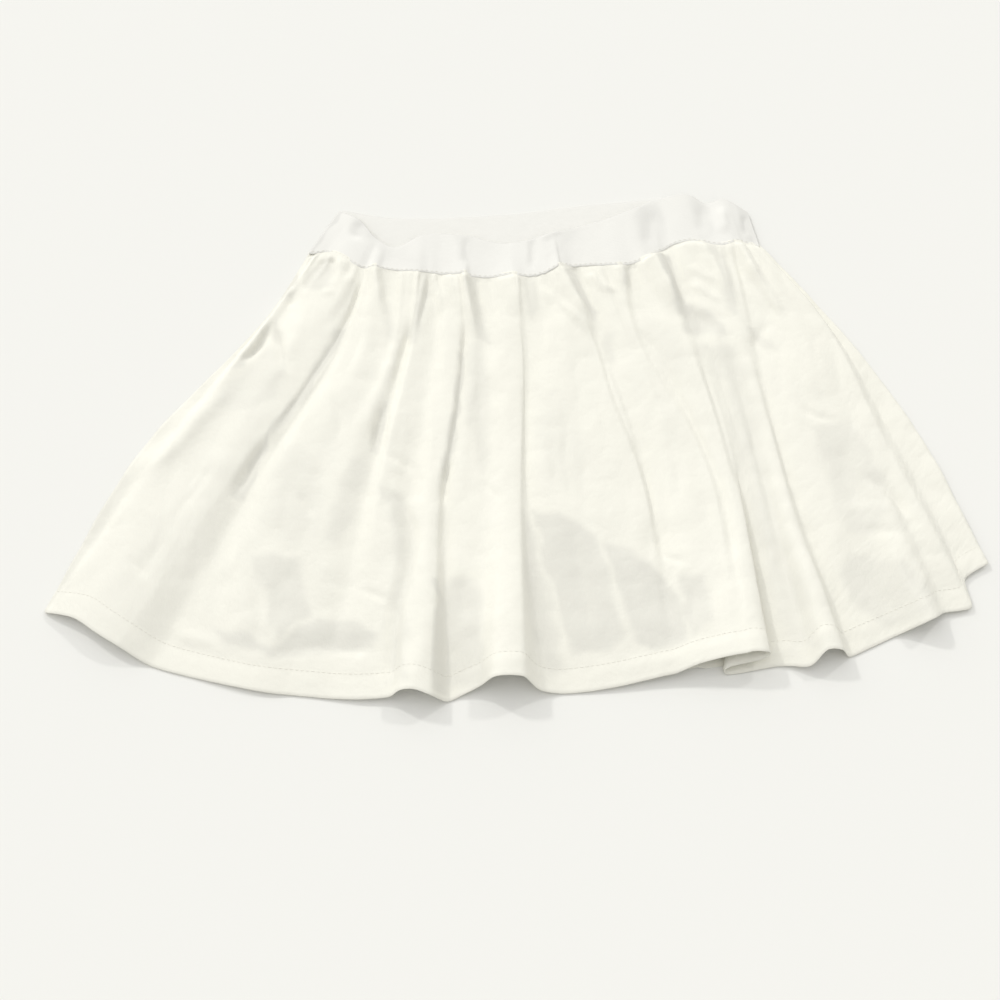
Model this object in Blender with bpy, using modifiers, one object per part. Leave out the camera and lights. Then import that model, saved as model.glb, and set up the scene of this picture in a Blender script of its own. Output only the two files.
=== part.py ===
"""A short pleated tennis skirt with a wide elastic waistband, laid flat on its back.

The skirt is cut as two panels, front and back, each gathered into half of an elastic loop and
finished with a turned hem. Laid out, the back panel lies flat and the front panel lies on it, and
the front's pleats stand up as soft ridges that open towards the hem.

Every panel is one sheet through a family of fold lines. A fold line runs down the cloth from the
waist seam to the hem: it is the crest, the edge or the valley of a pleat. A table gives where each
line lies, and the sheet is lofted smoothly from one line to the next.

Lengths in the tables are millimetres. They are measured on the floor in the layout's own axes,
X across the skirt and Y from the hem to the waist, and PLACE brings them to the part's origin.
"""

from collections import namedtuple

import bpy
import numpy as np

MM = 0.001

# Driving sizes, in millimetres.
CLOTH_WALL = 1.2
ELASTIC_WALL = 1.5
HEM_WALL = 1.0
SEAM_GAP = 0.6
LAYER_GAP = 0.3
HEM_GAP = 0.65
HEM_DEPTH = 15.0
SKIRT_LENGTH = 315.0
PLACE = (13.6, 379.55)

# Where the columns of the fold tables are measured, as shares of the way from seam to hem.
STATIONS = (0.0, 0.2, 0.6, 1.0)
HEM_LINE = 1.0 - HEM_DEPTH / SKIRT_LENGTH

# Rows of the sheet down the skirt: close at the gathers and at the hem.
PANEL_ROWS = (0.0, 0.04, 0.1, 0.17, 0.25, 0.34, 0.43, 0.52, 0.61, 0.7, 0.78, 0.85, 0.91,
              HEM_LINE, 0.976, 1.0)
BACK_ROWS = (0.0, 0.15, 0.35, 0.55, 0.75, 0.88, HEM_LINE, 1.0)
BAND_ROWS = (0.0, 0.33, 0.67, 1.0)

# The front lies on the back panel, and higher where both hems are turned.
FRONT_REST = 1.5 * CLOTH_WALL + LAYER_GAP + 0.1
HEM_REST = 1.5 * CLOTH_WALL + 2.0 * HEM_WALL + 2.0 * LAYER_GAP + HEM_GAP + 0.2
BAND_REST = 1.5 * ELASTIC_WALL + LAYER_GAP + 0.1
REST_RISES = (0.82, 0.91)

# name, softness, place at seam (x, y), x at release, x at middle, place at hem (x, y),
# and the height above the layer below at seam, release, middle and hem.
FoldLine = namedtuple(
    "FoldLine",
    "name soft x_seam y_seam x_release x_middle x_hem y_hem up_seam up_release up_middle up_hem",
)

FRONT_FOLDS = [FoldLine(*row) for row in (
    ("left_edge",        1.0, -145, 526, -169, -244, -285, 236,  0.0, 0.0, 0.0,  0.0),
    ("left_underlay",    0.7, -141, 526, -167, -219, -279, 234,  0.0, 0.0, 0.0,  1.5),
    ("left_flap_edge",   0.6, -137, 527, -163, -213, -271, 230,  3.0, 5.5, 6.0,  3.5),
    ("side_trough",      1.0, -130, 527, -158, -197, -260, 223,  2.0, 2.0, 4.0,  4.5),
    ("side_crest",       1.0, -121, 522, -144, -186, -246, 213,  5.0, 6.0, 6.5,  5.0),
    ("pleat_1_edge",     0.6, -107, 512, -121, -176, -232, 206,  3.0, 5.0, 7.0,  4.0),
    ("pleat_1_valley",   0.7, -102, 511, -116, -163, -214, 199,  1.0, 1.0, 0.0,  0.0),
    ("pleat_1_flank",    1.0,  -97, 510, -108, -153, -150, 185,  2.0, 5.0, 6.0,  3.0),
    ("left_panel",       1.0,  -93, 510,  -97, -137, -137, 183,  3.5, 7.0, 6.0,  2.0),
    ("gather_1",         1.0,  -88, 510,  -80, -122, -125, 182,  1.0, 3.0, 6.0,  1.5),
    ("pleat_2_flank",    1.0,  -74, 506,  -73, -108, -114, 181,  5.0, 6.0, 6.0,  1.0),
    ("pleat_2_valley",   0.7,  -60, 505,  -67,  -91, -104, 180,  1.0, 1.0, 1.0,  1.0),
    ("pleat_2_crest",    0.8,  -55, 505,  -62,  -80,  -84, 179,  2.0, 5.0, 6.5,  4.0),
    ("trough_edge",      0.7,  -51, 504,  -57,  -70,  -67, 180,  3.0, 4.0, 6.0,  7.0),
    ("trough",           1.0,  -47, 504,  -46,  -59,  -58, 181,  1.0, 3.0, 2.0,  8.0),
    ("pleat_3_crest",    1.0,  -41, 503,  -37,  -46,  -51, 181,  4.0, 6.0, 6.0, 10.0),
    ("pleat_3_edge",     0.6,  -35, 502,  -30,  -39,  -42, 177,  4.0, 5.0, 7.0,  5.0),
    ("pleat_3_valley",   0.7,  -30, 502,  -25,  -34,  -32, 178,  2.0, 1.0, 1.0,  0.0),
    ("pleat_3_flank",    1.0,  -26, 502,  -19,  -25,  -22, 181,  3.0, 4.0, 4.0,  1.0),
    ("gather_2",         1.0,  -22, 501,   -9,   -9,  -13, 184,  0.0, 2.0, 3.0,  3.0),
    ("middle_crest",     1.0,   -6, 500,    4,    3,   -2, 186,  4.0, 6.0, 7.0, 14.0),
    ("pleat_4_edge",     0.7,    8, 501,   14,   11,   14, 186,  4.0, 6.0, 7.0, 14.0),
    ("pleat_4_flank",    1.0,   12, 501,   19,   16,   24, 182,  2.0, 3.0, 3.5,  2.5),
    ("pleat_4_valley",   0.7,   16, 501,   23,   21,   38, 183,  1.0, 1.0, 1.0,  0.0),
    ("middle_panel",     1.0,   26, 501,   33,   34,   52, 185,  4.0, 5.0, 6.0,  0.5),
    ("hollow_panel",     1.0,   38, 504,   50,   59,   72, 188,  4.0, 6.0, 6.0,  3.0),
    ("pleat_5_edge",     0.7,   45, 508,   66,   92,   98, 193,  4.0, 5.0, 7.0,  6.0),
    ("pleat_5_valley",   0.7,   50, 510,   71,   99,  107, 195,  0.0, 2.0, 2.0,  7.0),
    ("right_panel",      1.0,   67, 511,   85,  116,  120, 197,  5.0, 6.0, 6.0,  8.0),
    ("pleat_6_edge",     0.7,   91, 511,   97,  140,  140, 201,  3.0, 5.0, 6.0, 10.0),
    ("pleat_6_valley",   0.8,   96, 512,  103,  146,  149, 202,  0.0, 3.0, 4.0, 11.0),
    ("pleat_7_crest",    1.0,  108, 517,  118,  150,  153, 203,  4.0, 6.5, 6.0, 12.5),
    ("pleat_7_over",     1.0,  114, 521,  126,  153,  164, 203,  4.5, 7.0, 6.0, 12.3),
    ("pleat_7_edge",     1.0,  118, 524,  130,  155,  168, 203,  4.0, 7.0, 5.8,  9.4),
    ("pleat_7_under",    1.0,  121, 526,  133,  157,  164, 201,  3.0, 5.0, 4.5,  6.5),
    ("pleat_7_turn",     1.0,  124, 528,  136,  159,  136, 197,  1.0, 2.5, 2.5,  3.8),
    ("pleat_7_return",   1.0,  127, 530,  139,  162,  137, 195,  0.0, 1.0, 1.0,  0.5),
    ("pleat_7_underlay", 0.8,  132, 533,  144,  166,  169, 198,  1.5, 1.0, 1.5,  0.0),
    ("pleat_8_flank",    1.0,  142, 536,  151,  169,  177, 198,  5.0, 3.0, 4.0,  1.0),
    ("gather_3",         1.0,  156, 534,  163,  175,  187, 199,  1.0, 3.0, 2.0,  3.0),
    ("pleat_8_crest",    1.0,  167, 531,  173,  184,  196, 204,  4.0, 5.0, 6.0,  8.0),
    ("pleat_8_edge",     0.7,  174, 532,  179,  190,  206, 205,  3.0, 4.0, 6.0,  8.0),
    ("pleat_8_valley",   0.7,  178, 534,  184,  195,  214, 203,  0.0, 1.0, 2.0,  0.0),
    ("side_panel",       1.0,  183, 535,  196,  207,  228, 208,  3.0, 4.0, 5.0,  1.0),
    ("side_hollow",      1.0,  187, 535,  210,  226,  246, 215,  3.0, 6.0, 4.0,  2.0),
    ("right_crest",      1.0,  190, 534,  220,  246,  271, 226,  3.0, 5.0, 5.0,  7.0),
    ("right_flap_edge",  0.7,  193, 534,  228,  261,  294, 234,  2.0, 4.0, 5.0,  5.0),
    ("right_underlay",   0.7,  196, 533,  232,  267,  298, 246,  0.0, 0.0, 0.0,  0.5),
    ("right_edge",       1.0,  199, 533,  235,  284,  312, 268,  0.0, 0.0, 0.0,  2.0),
)]

# Folds of the front that also lift the back panel, and how much of the front's height they take.
BACK_PLEATS = ("side_crest", "left_panel", "pleat_2_flank", "pleat_3_crest", "middle_crest",
               "hollow_panel", "right_panel", "pleat_8_crest", "right_crest")
BACK_PLEAT_SHARE = 0.35
BACK_PLEAT_HALF_WIDTH = 5.0

# The back panel's waist seam and hem, as x and y of the points they pass through.
BACK_SEAM = ((-141, 524), (-90, 520), (0, 521), (80, 531), (140, 537), (196, 531))
BACK_HEM = ((-276, 248), (-200, 215), (-110, 194), (0, 197), (80, 199), (150, 201), (200, 213),
            (250, 232), (300, 262))
BACK_LEFT_INSET = (4, 5, 9, 9)
BACK_RIGHT_INSET = (3, 4, 10, 12)

# The waistband's upper edge: share of the way round the half loop from the left fold, x, y and
# the height above the layer below.
BandPoint = namedtuple("BandPoint", "share x y up")

FRONT_BAND_TOP = [BandPoint(*row) for row in (
    (0.00, -125, 569, 0.0),
    (0.06, -109, 558, 2.5),
    (0.13,  -95, 539, 3.0),
    (0.19,  -80, 530, 2.5),
    (0.26,  -58, 541, 4.0),
    (0.34,  -30, 541, 3.5),
    (0.44,    5, 533, 3.0),
    (0.54,   38, 541, 4.5),
    (0.64,   75, 555, 3.0),
    (0.73,  105, 569, 3.5),
    (0.80,  125, 580, 1.5),
    (0.87,  148, 581, 5.0),
    (0.91,  161, 575, 2.0),
    (0.95,  174, 578, 4.0),
    (1.00,  193, 568, 0.0),
)]
BACK_BAND_TOP = [BandPoint(*row) for row in (
    (0.00, -123, 571, 0.0),
    (0.15,  -85, 563, 0.0),
    (0.40,    0, 566, 0.0),
    (0.65,   75, 577, 0.0),
    (0.85,  140, 582, 0.0),
    (1.00,  192, 571, 0.0),
)]

# Columns of cloth between one fold line and the next.
WIDE_INTERVAL = 10.0
MOST_COLUMNS = 2


def slopes(points, places):
    """Tangent at each place along the first axis, worked out from both neighbours."""
    step = places[1:] - places[:-1]
    rise = (points[1:] - points[:-1]) / step
    inner = (rise[:-1] * step[1:] + rise[1:] * step[:-1]) / (step[:-1] + step[1:])
    return np.concatenate([rise[:1], inner, rise[-1:]])


def hermite(start, end, start_slope, end_slope, step, share):
    """Point at a share of the way along one smooth interval."""
    u = share
    return ((2 * u**3 - 3 * u**2 + 1) * start + (u**3 - 2 * u**2 + u) * step * start_slope
            + (-2 * u**3 + 3 * u**2) * end + (u**3 - u**2) * step * end_slope)


def smooth(values, places, wanted):
    """Values of a smooth curve through (places, values), read at the wanted places."""
    values = np.asarray(values, float)
    places = np.asarray(places, float)
    tangents = slopes(values, places)
    read = []
    for place in wanted:
        k = int(np.clip(np.searchsorted(places, place) - 1, 0, len(places) - 2))
        step = places[k + 1] - places[k]
        share = (place - places[k]) / step
        read.append(hermite(values[k], values[k + 1], tangents[k], tangents[k + 1], step, share))
    return np.array(read)


def fold_path(fold, rows):
    """The fold line's points down the cloth, with its height above the layer below as z."""
    x = smooth((fold.x_seam, fold.x_release, fold.x_middle, fold.x_hem), STATIONS, rows)
    y = fold.y_seam + (fold.y_hem - fold.y_seam) * np.asarray(rows)
    heights = (fold.up_seam, fold.up_release, fold.up_middle, fold.up_hem)
    return np.stack([x, y, smooth(heights, STATIONS, rows)], axis=1)


def columns_between(folds):
    """How many columns of cloth each gap between fold lines takes."""
    counts = []
    for a, b in zip(folds[:-1], folds[1:]):
        widest = max(abs(b.x_hem - a.x_hem), abs(b.x_middle - a.x_middle))
        counts.append(int(np.clip(round(widest / WIDE_INTERVAL), 1, MOST_COLUMNS)))
    return counts


def loft(folds, rows):
    """Grid of points [row][column] through the fold lines, each crossed as softly as it says."""
    lines = np.stack([fold_path(fold, rows) for fold in folds], axis=1)
    counts = columns_between(folds)
    softness = np.array([fold.soft for fold in folds])[:, None]
    grid = []
    for line in lines:
        chord = np.linalg.norm(line[1:] - line[:-1], axis=1)
        places = np.concatenate([[0.0], np.cumsum(np.sqrt(chord))])[:, None]
        tangents = slopes(line, places) * softness
        row = [line[0]]
        for k, count in enumerate(counts):
            step = places[k + 1] - places[k]
            for i in range(1, count + 1):
                row.append(hermite(line[k], line[k + 1], tangents[k], tangents[k + 1],
                                   step, i / count))
        grid.append(row)
    return np.array(grid)


def front_rest(rows):
    """Height of the front's middle surface where it lies flat, for each row."""
    return np.interp(rows, REST_RISES, (FRONT_REST, HEM_REST))


def directions(grid, axis):
    """Unit direction of the sheet at each point, halfway between its two edges along an axis."""
    edges = np.diff(grid, axis=axis)
    edges /= np.linalg.norm(edges, axis=2, keepdims=True)
    first, last = np.take(edges, [0], axis), np.take(edges, [-1], axis)
    return np.concatenate([first, edges], axis) + np.concatenate([edges, last], axis)


def normals(grid):
    """Unit normals of a grid of points, on the outer side of the cloth."""
    normal = np.cross(directions(grid, 0), directions(grid, 1))
    return normal / np.linalg.norm(normal, axis=2, keepdims=True)


def front_panel_grid():
    """Middle surface of the front panel."""
    grid = loft(FRONT_FOLDS, PANEL_ROWS)
    rest = front_rest(PANEL_ROWS)[:, None]
    grid[..., 2] = rest + np.maximum(grid[..., 2], 0.0)
    return grid


def back_folds():
    """Fold lines of the back panel: its two edges, and three lines for each pleat."""
    seam_x, seam_y = np.array(BACK_SEAM, float).T
    hem_x, hem_y = np.array(BACK_HEM, float).T

    def line(front, name, shifts, share):
        x = [front.x_seam + shifts[0], front.x_release + shifts[1],
             front.x_middle + shifts[2], front.x_hem + shifts[3]]
        up = [share * h for h in (front.up_seam, front.up_release, front.up_middle, front.up_hem)]
        return FoldLine(name, 1.0, x[0], smooth(seam_y, seam_x, [x[0]])[0], x[1], x[2], x[3],
                        smooth(hem_y, hem_x, [x[3]])[0], *up)

    by_name = {fold.name: fold for fold in FRONT_FOLDS}
    folds = [line(FRONT_FOLDS[0], "left_edge", BACK_LEFT_INSET, 0.0)]
    half = BACK_PLEAT_HALF_WIDTH
    for name in BACK_PLEATS:
        front = by_name[name]
        near = np.array([0.25, 0.7, 1.0, 1.0]) * half
        folds.append(line(front, name + "_left", -near, 0.0))
        folds.append(line(front, name + "_top", np.zeros(4), BACK_PLEAT_SHARE))
        folds.append(line(front, name + "_right", near, 0.0))
    folds.append(line(FRONT_FOLDS[-1], "right_edge", -np.array(BACK_RIGHT_INSET), 0.0))
    return folds


def back_panel_grid():
    """Underside of the back panel, flat on the floor between its pleats."""
    grid = loft(back_folds(), BACK_ROWS)
    grid[..., 2] = np.maximum(grid[..., 2], 0.0)
    return grid


def turned_hem_grid(panel, rows, offset):
    """The hem allowance: the panel's own points next to its hem, moved to its inner side."""
    start = rows.index(HEM_LINE)
    return (panel + normals(panel) * offset)[start:]


def band_grid(lower_edge, top, rest):
    """Half of the elastic loop, from the gathered seam up to its upper edge."""
    across = np.linalg.norm(np.diff(lower_edge[:, :2], axis=0), axis=1)
    share = np.concatenate([[0.0], np.cumsum(across)])
    share /= share[-1]
    places = [point.share for point in top]
    upper = np.stack([smooth([getattr(point, axis) for point in top], places, share)
                      for axis in ("x", "y", "up")], axis=1)
    upper[:, 2] = rest + np.maximum(upper[:, 2], 0.0)
    lower = lower_edge.copy()
    lower[:, 1] += SEAM_GAP
    lower[:, 2] = np.maximum(lower[:, 2], rest)
    weight = np.array(BAND_ROWS)[:, None, None]
    return (lower * (1.0 - weight) + upper * weight)[::-1]


def material(name, colour, roughness):
    """A Principled finish of one colour."""
    finish = bpy.data.materials.new(name)
    finish.use_nodes = True
    shader = finish.node_tree.nodes["Principled BSDF"]
    shader.inputs["Base Color"].default_value = (*colour, 1.0)
    shader.inputs["Roughness"].default_value = roughness
    shader.inputs["Metallic"].default_value = 0.0
    finish.diffuse_color = (*colour, 1.0)
    return finish


def sheet_object(name, grid, wall, offset, finish, collection):
    """An open sheet through the grid, given its wall by Solidify and shaded smooth."""
    row_count, column_count = grid.shape[:2]
    points = grid.reshape(-1, 3) - np.array([PLACE[0], PLACE[1], 0.0])
    faces = []
    for r in range(row_count - 1):
        for c in range(column_count - 1):
            a = r * column_count + c
            faces.append((a, a + column_count, a + column_count + 1, a + 1))
    mesh = bpy.data.meshes.new(name)
    mesh.from_pydata((points * MM).tolist(), [], faces)
    mesh.shade_smooth()
    mesh.materials.append(finish)
    piece = bpy.data.objects.new(name, mesh)
    collection.objects.link(piece)
    solidify = piece.modifiers.new("Wall", "SOLIDIFY")
    solidify.thickness = wall * MM
    solidify.offset = offset
    solidify.use_even_offset = False
    return piece


def clear_scene():
    """Removes every object that the scene starts with."""
    for item in list(bpy.data.objects):
        bpy.data.objects.remove(item, do_unlink=True)


def main():
    """Builds the six pieces of the skirt."""
    clear_scene()
    skirt = bpy.data.collections.new("tennis_skirt")
    bpy.context.scene.collection.children.link(skirt)

    front_cloth = material("front_cloth", (0.89, 0.87, 0.79), 0.7)
    back_cloth = material("back_cloth", (0.87, 0.85, 0.77), 0.7)
    front_hem_cloth = material("front_hem_cloth", (0.85, 0.83, 0.75), 0.75)
    back_hem_cloth = material("back_hem_cloth", (0.84, 0.82, 0.74), 0.75)
    front_elastic = material("front_elastic", (0.93, 0.92, 0.9), 0.85)
    back_elastic = material("back_elastic", (0.91, 0.9, 0.88), 0.85)

    front = front_panel_grid()
    back = back_panel_grid()
    under_front = 0.5 * CLOTH_WALL + HEM_GAP + 0.5 * HEM_WALL
    over_back = CLOTH_WALL + LAYER_GAP

    sheet_object("skirt_front", front, CLOTH_WALL, 0.0, front_cloth, skirt)
    sheet_object("skirt_back", back, CLOTH_WALL, 1.0, back_cloth, skirt)
    sheet_object("hem_front", turned_hem_grid(front, PANEL_ROWS, -under_front),
                 HEM_WALL, 0.0, front_hem_cloth, skirt)
    sheet_object("hem_back", turned_hem_grid(back, BACK_ROWS, over_back),
                 HEM_WALL, 1.0, back_hem_cloth, skirt)
    sheet_object("waistband_front", band_grid(front[0], FRONT_BAND_TOP, BAND_REST),
                 ELASTIC_WALL, 0.0, front_elastic, skirt)
    sheet_object("waistband_back", band_grid(back[0], BACK_BAND_TOP, 0.0),
                 ELASTIC_WALL, 1.0, back_elastic, skirt)


main()
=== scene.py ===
"""The looks of a short pleated tennis skirt with a wide elastic waistband, laid flat on its back.

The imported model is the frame. Each of its plain cloth solids is replaced here by a fine sheet on the
same form: the same fold lines, with the finer creases, gathers and puckers of the real cloth added.

Lengths in the tables are millimetres on the floor, X across the skirt and Y from the hem to the
waist, and LAYOUT_ORIGIN is the frame's origin on that floor.
"""

from __future__ import annotations

import logging
import math
from dataclasses import dataclass, field
from enum import Enum

import bpy
import numpy as np
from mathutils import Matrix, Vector
from mathutils.bvhtree import BVHTree


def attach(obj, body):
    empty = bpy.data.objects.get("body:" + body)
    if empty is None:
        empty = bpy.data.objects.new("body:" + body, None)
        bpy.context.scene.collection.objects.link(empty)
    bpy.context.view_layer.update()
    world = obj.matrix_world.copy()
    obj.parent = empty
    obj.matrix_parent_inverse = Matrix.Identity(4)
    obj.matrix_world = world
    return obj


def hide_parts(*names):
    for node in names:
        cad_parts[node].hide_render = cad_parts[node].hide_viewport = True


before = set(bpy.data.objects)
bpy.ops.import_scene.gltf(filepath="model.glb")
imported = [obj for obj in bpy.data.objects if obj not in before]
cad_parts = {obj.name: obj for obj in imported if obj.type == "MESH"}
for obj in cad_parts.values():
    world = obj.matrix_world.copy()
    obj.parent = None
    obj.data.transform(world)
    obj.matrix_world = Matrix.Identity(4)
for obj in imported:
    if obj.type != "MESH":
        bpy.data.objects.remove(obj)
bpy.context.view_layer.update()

log = logging.getLogger("tennis_skirt")

MM = 0.001
LAYOUT_ORIGIN = np.array([13.6, 379.55, 0.0])
CUT_MAP = "Cut"
# The mesh mask that says where shade is painted into the cloth's colour.
PAINTED_SHADE_MASK = "Painted_shade"
SKIRT_LENGTH = 315.0
HEM_DEPTH = 15.0
HEM_LINE = 1.0 - HEM_DEPTH / SKIRT_LENGTH

# Real thicknesses of the cloth and the elastic, and the air between layers.
CLOTH = 0.5
HEM_CLOTH = 0.45
ELASTIC = 1.3
LAYER_GAP = 0.12
HEM_OFFSET = 0.5 * (CLOTH + HEM_CLOTH) + LAYER_GAP

# Each finish's colour in the light and in its deeper places.
COTTON = ((0.845, 0.83, 0.745), (0.80, 0.785, 0.69))
HEM_COTTON = ((0.835, 0.82, 0.735), (0.79, 0.775, 0.68))
WHITE_ELASTIC = ((0.800, 0.790, 0.742), (0.756, 0.746, 0.694))
SEWING_THREAD = ((0.84, 0.82, 0.74), (0.72, 0.70, 0.62))

# Where the fold tables are measured, as shares of the way from seam to hem.
STATIONS = (0.0, 0.2, 0.6, 1.0)

# The least length or width that anything is divided by.
TINY = 1e-9


class Slot(Enum):
    """The record's material slots."""

    CLOTH = "skirt_cloth"
    ELASTIC = "waist_elastic"


class Held(Enum):
    """How a sheet is held."""

    GATHERED = "gathered"
    LAID = "laid"


class Profile(Enum):
    """The cross-section of a crease: a rounded swell, or straight sides that meet in a line."""

    SOFT = "soft"
    CRISP = "crisp"

    def shape(self, away: np.ndarray) -> np.ndarray:
        """Share of the crease's full height beside its line.

        Args:
            away: Distance from the line, as a share of the crease's width.

        Returns:
            Shares from 0 to 1.
        """
        if self is Profile.SOFT:
            return np.exp(-(away**2))
        return np.clip(1.0 - away / 1.5, 0.0, 1.0)


@dataclass(frozen=True)
class Noise:
    """A field of smooth random heights: how far apart its humps are across and along, and its seed."""

    across: float
    along: float
    seed: int

    CELLS = 64
    SHIFT = (7.3, 3.1)

    def heights(self, x: np.ndarray, y: np.ndarray) -> np.ndarray:
        """Reads the field.

        Args:
            x: Places across the cloth.
            y: Places along the cloth.

        Returns:
            Heights between -1 and 1.
        """
        lattice = np.random.default_rng(self.seed).uniform(-1.0, 1.0, (self.CELLS, self.CELLS))
        gx, gy = x / self.across + self.SHIFT[0], y / self.along + self.SHIFT[1]
        left, low = np.floor(gx).astype(int), np.floor(gy).astype(int)
        fx, fy = rise(gx - left), rise(gy - low)
        left, right, low, high = (k % self.CELLS for k in (left, left + 1, low, low + 1))
        below = lattice[left, low] * (1 - fx) + lattice[right, low] * fx
        above = lattice[left, high] * (1 - fx) + lattice[right, high] * fx
        return below * (1 - fy) + above * fy


DRIFT = Noise(22.0, 60.0, 3)
FINE_DRIFT = Noise(9.0, 17.0, 5)
CRUMPLE = Noise(26.0, 38.0, 41)
FINE_CRUMPLE = Noise(13.0, 19.0, 43)
WANDER_ACROSS = Noise(9.0, 11.0, 31)
WANDER_ALONG = Noise(11.0, 9.0, 37)
SEAM_WAVER = Noise(3.0, 900.0, 23)
BAND_RIPPLE = Noise(14.0, 40.0, 17)


@dataclass(frozen=True)
class FoldLine:
    """A line that runs down the cloth: where it lies at each station, and how high it stands."""

    name: str
    soft: float
    x_seam: float
    y_seam: float
    x_release: float
    x_middle: float
    x_hem: float
    y_hem: float
    up_seam: float
    up_release: float
    up_middle: float
    up_hem: float

    def path(self, rows: np.ndarray) -> np.ndarray:
        """The line's points down the cloth.

        Args:
            rows: Shares of the way from seam to hem.

        Returns:
            One row of x, y and height above the layer below for each share.
        """
        across = smooth((self.x_seam, self.x_release, self.x_middle, self.x_hem), STATIONS, rows)
        along = self.y_seam + (self.y_hem - self.y_seam) * rows
        heights = (self.up_seam, self.up_release, self.up_middle, self.up_hem)
        return np.stack([across, along, smooth(heights, STATIONS, rows)], axis=1)


@dataclass(frozen=True)
class Crease:
    """A ridge (height above zero) or trough (below zero) along a smooth line on the floor plan.

    A line runs from the waist towards the hem. west and east are how far the crease reaches on each
    side of it, fade is the share of its length over which it starts and ends, and taper is the share
    of its width that is left at its end.
    """

    height: float
    west: float
    east: float
    points: tuple[tuple[float, float], ...]
    fade: tuple[float, float] = (0.35, 0.35)
    taper: float = 1.0
    profile: Profile = Profile.SOFT

    SAMPLES = 22
    REACH = 2.6

    def line(self) -> np.ndarray:
        """The crease's line as closely spaced x, y points."""
        knots = np.array(self.points, float)
        places = run(knots)
        wanted = np.linspace(0.0, places[-1], self.SAMPLES)
        if len(knots) < 3:
            return np.stack([np.interp(wanted, places, knots[:, k]) for k in range(2)], axis=1)
        return smooth(knots, places, wanted)

    def lift(self, x: np.ndarray, y: np.ndarray) -> np.ndarray:
        """How far the crease lifts each point.

        Args:
            x: Places across the floor.
            y: Places along the floor.

        Returns:
            Heights of the same shape as x.
        """
        line = self.line()
        reach = self.REACH * max(self.west, self.east)
        low, high = line.min(axis=0) - reach, line.max(axis=0) + reach
        near = (x > low[0]) & (x < high[0]) & (y > low[1]) & (y < high[1])
        raised = np.zeros_like(x)
        if not near.any():
            return raised
        at = np.stack([x[near], y[near]], axis=1)[:, None, :]
        start, step = line[None, :-1], np.diff(line, axis=0)[None]
        share = np.clip(((at - start) * step).sum(2) / (step**2).sum(2), 0.0, 1.0)
        away = at - start - step * share[..., None]
        distance = np.linalg.norm(away, axis=2)
        best = distance.argmin(axis=1)
        pick = np.arange(len(best))
        side = away[pick, best, 0] * -step[0, best, 1] + away[pick, best, 1] * step[0, best, 0]
        along = (best + share[pick, best]) / (len(line) - 1)
        width = np.where(side > 0.0, self.east, self.west) * (1.0 + (self.taper - 1.0) * along)
        ends = rise(along / max(self.fade[0], TINY)) * rise((1.0 - along) / max(self.fade[1], TINY))
        raised[near] = self.height * ends * self.profile.shape(distance[pick, best] / width)
        return raised


@dataclass(frozen=True)
class PaintedShade:
    """An area of painted shade on the cloth: how much, how soft its edge is, its outline."""

    share: float
    softness: float
    outline: tuple[tuple[float, float], ...]

    WANDER = 2.6
    MARGIN = 12.0

    def cover(self, x: np.ndarray, y: np.ndarray) -> np.ndarray:
        """How much of each point is inside the area.

        Args:
            x: Places across the floor.
            y: Places along the floor.

        Returns:
            Shares of the same shape as x.
        """
        corners = np.array(self.outline, float)
        covered = np.zeros_like(x)
        low, high = corners.min(axis=0) - self.MARGIN, corners.max(axis=0) + self.MARGIN
        near = (x > low[0]) & (x < high[0]) & (y > low[1]) & (y < high[1])
        if not near.any():
            return covered
        inner = x[near], y[near]
        at = np.stack([inner[0] + self.WANDER * WANDER_ACROSS.heights(*inner),
                       inner[1] + self.WANDER * WANDER_ALONG.heights(*inner)], axis=1)
        start, end = corners[None], np.roll(corners, -1, axis=0)[None]
        step = end - start
        share = np.clip(((at[:, None] - start) * step).sum(2) / (step**2).sum(2), 0.0, 1.0)
        distance = np.linalg.norm(at[:, None] - start - step * share[..., None], axis=2).min(axis=1)
        spans = (start[..., 1] > at[:, None, 1]) != (end[..., 1] > at[:, None, 1])
        rise_y = np.where(step[..., 1] == 0.0, TINY, step[..., 1])
        crossing = start[..., 0] + (at[:, None, 1] - start[..., 1]) * step[..., 0] / rise_y
        inside = (spans & (at[:, None, 0] < crossing)).sum(axis=1) % 2 == 1
        signed = np.where(inside, distance, -distance)
        covered[near] = self.share * rise(0.5 + signed / (2.0 * self.softness))
        return covered


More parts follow.
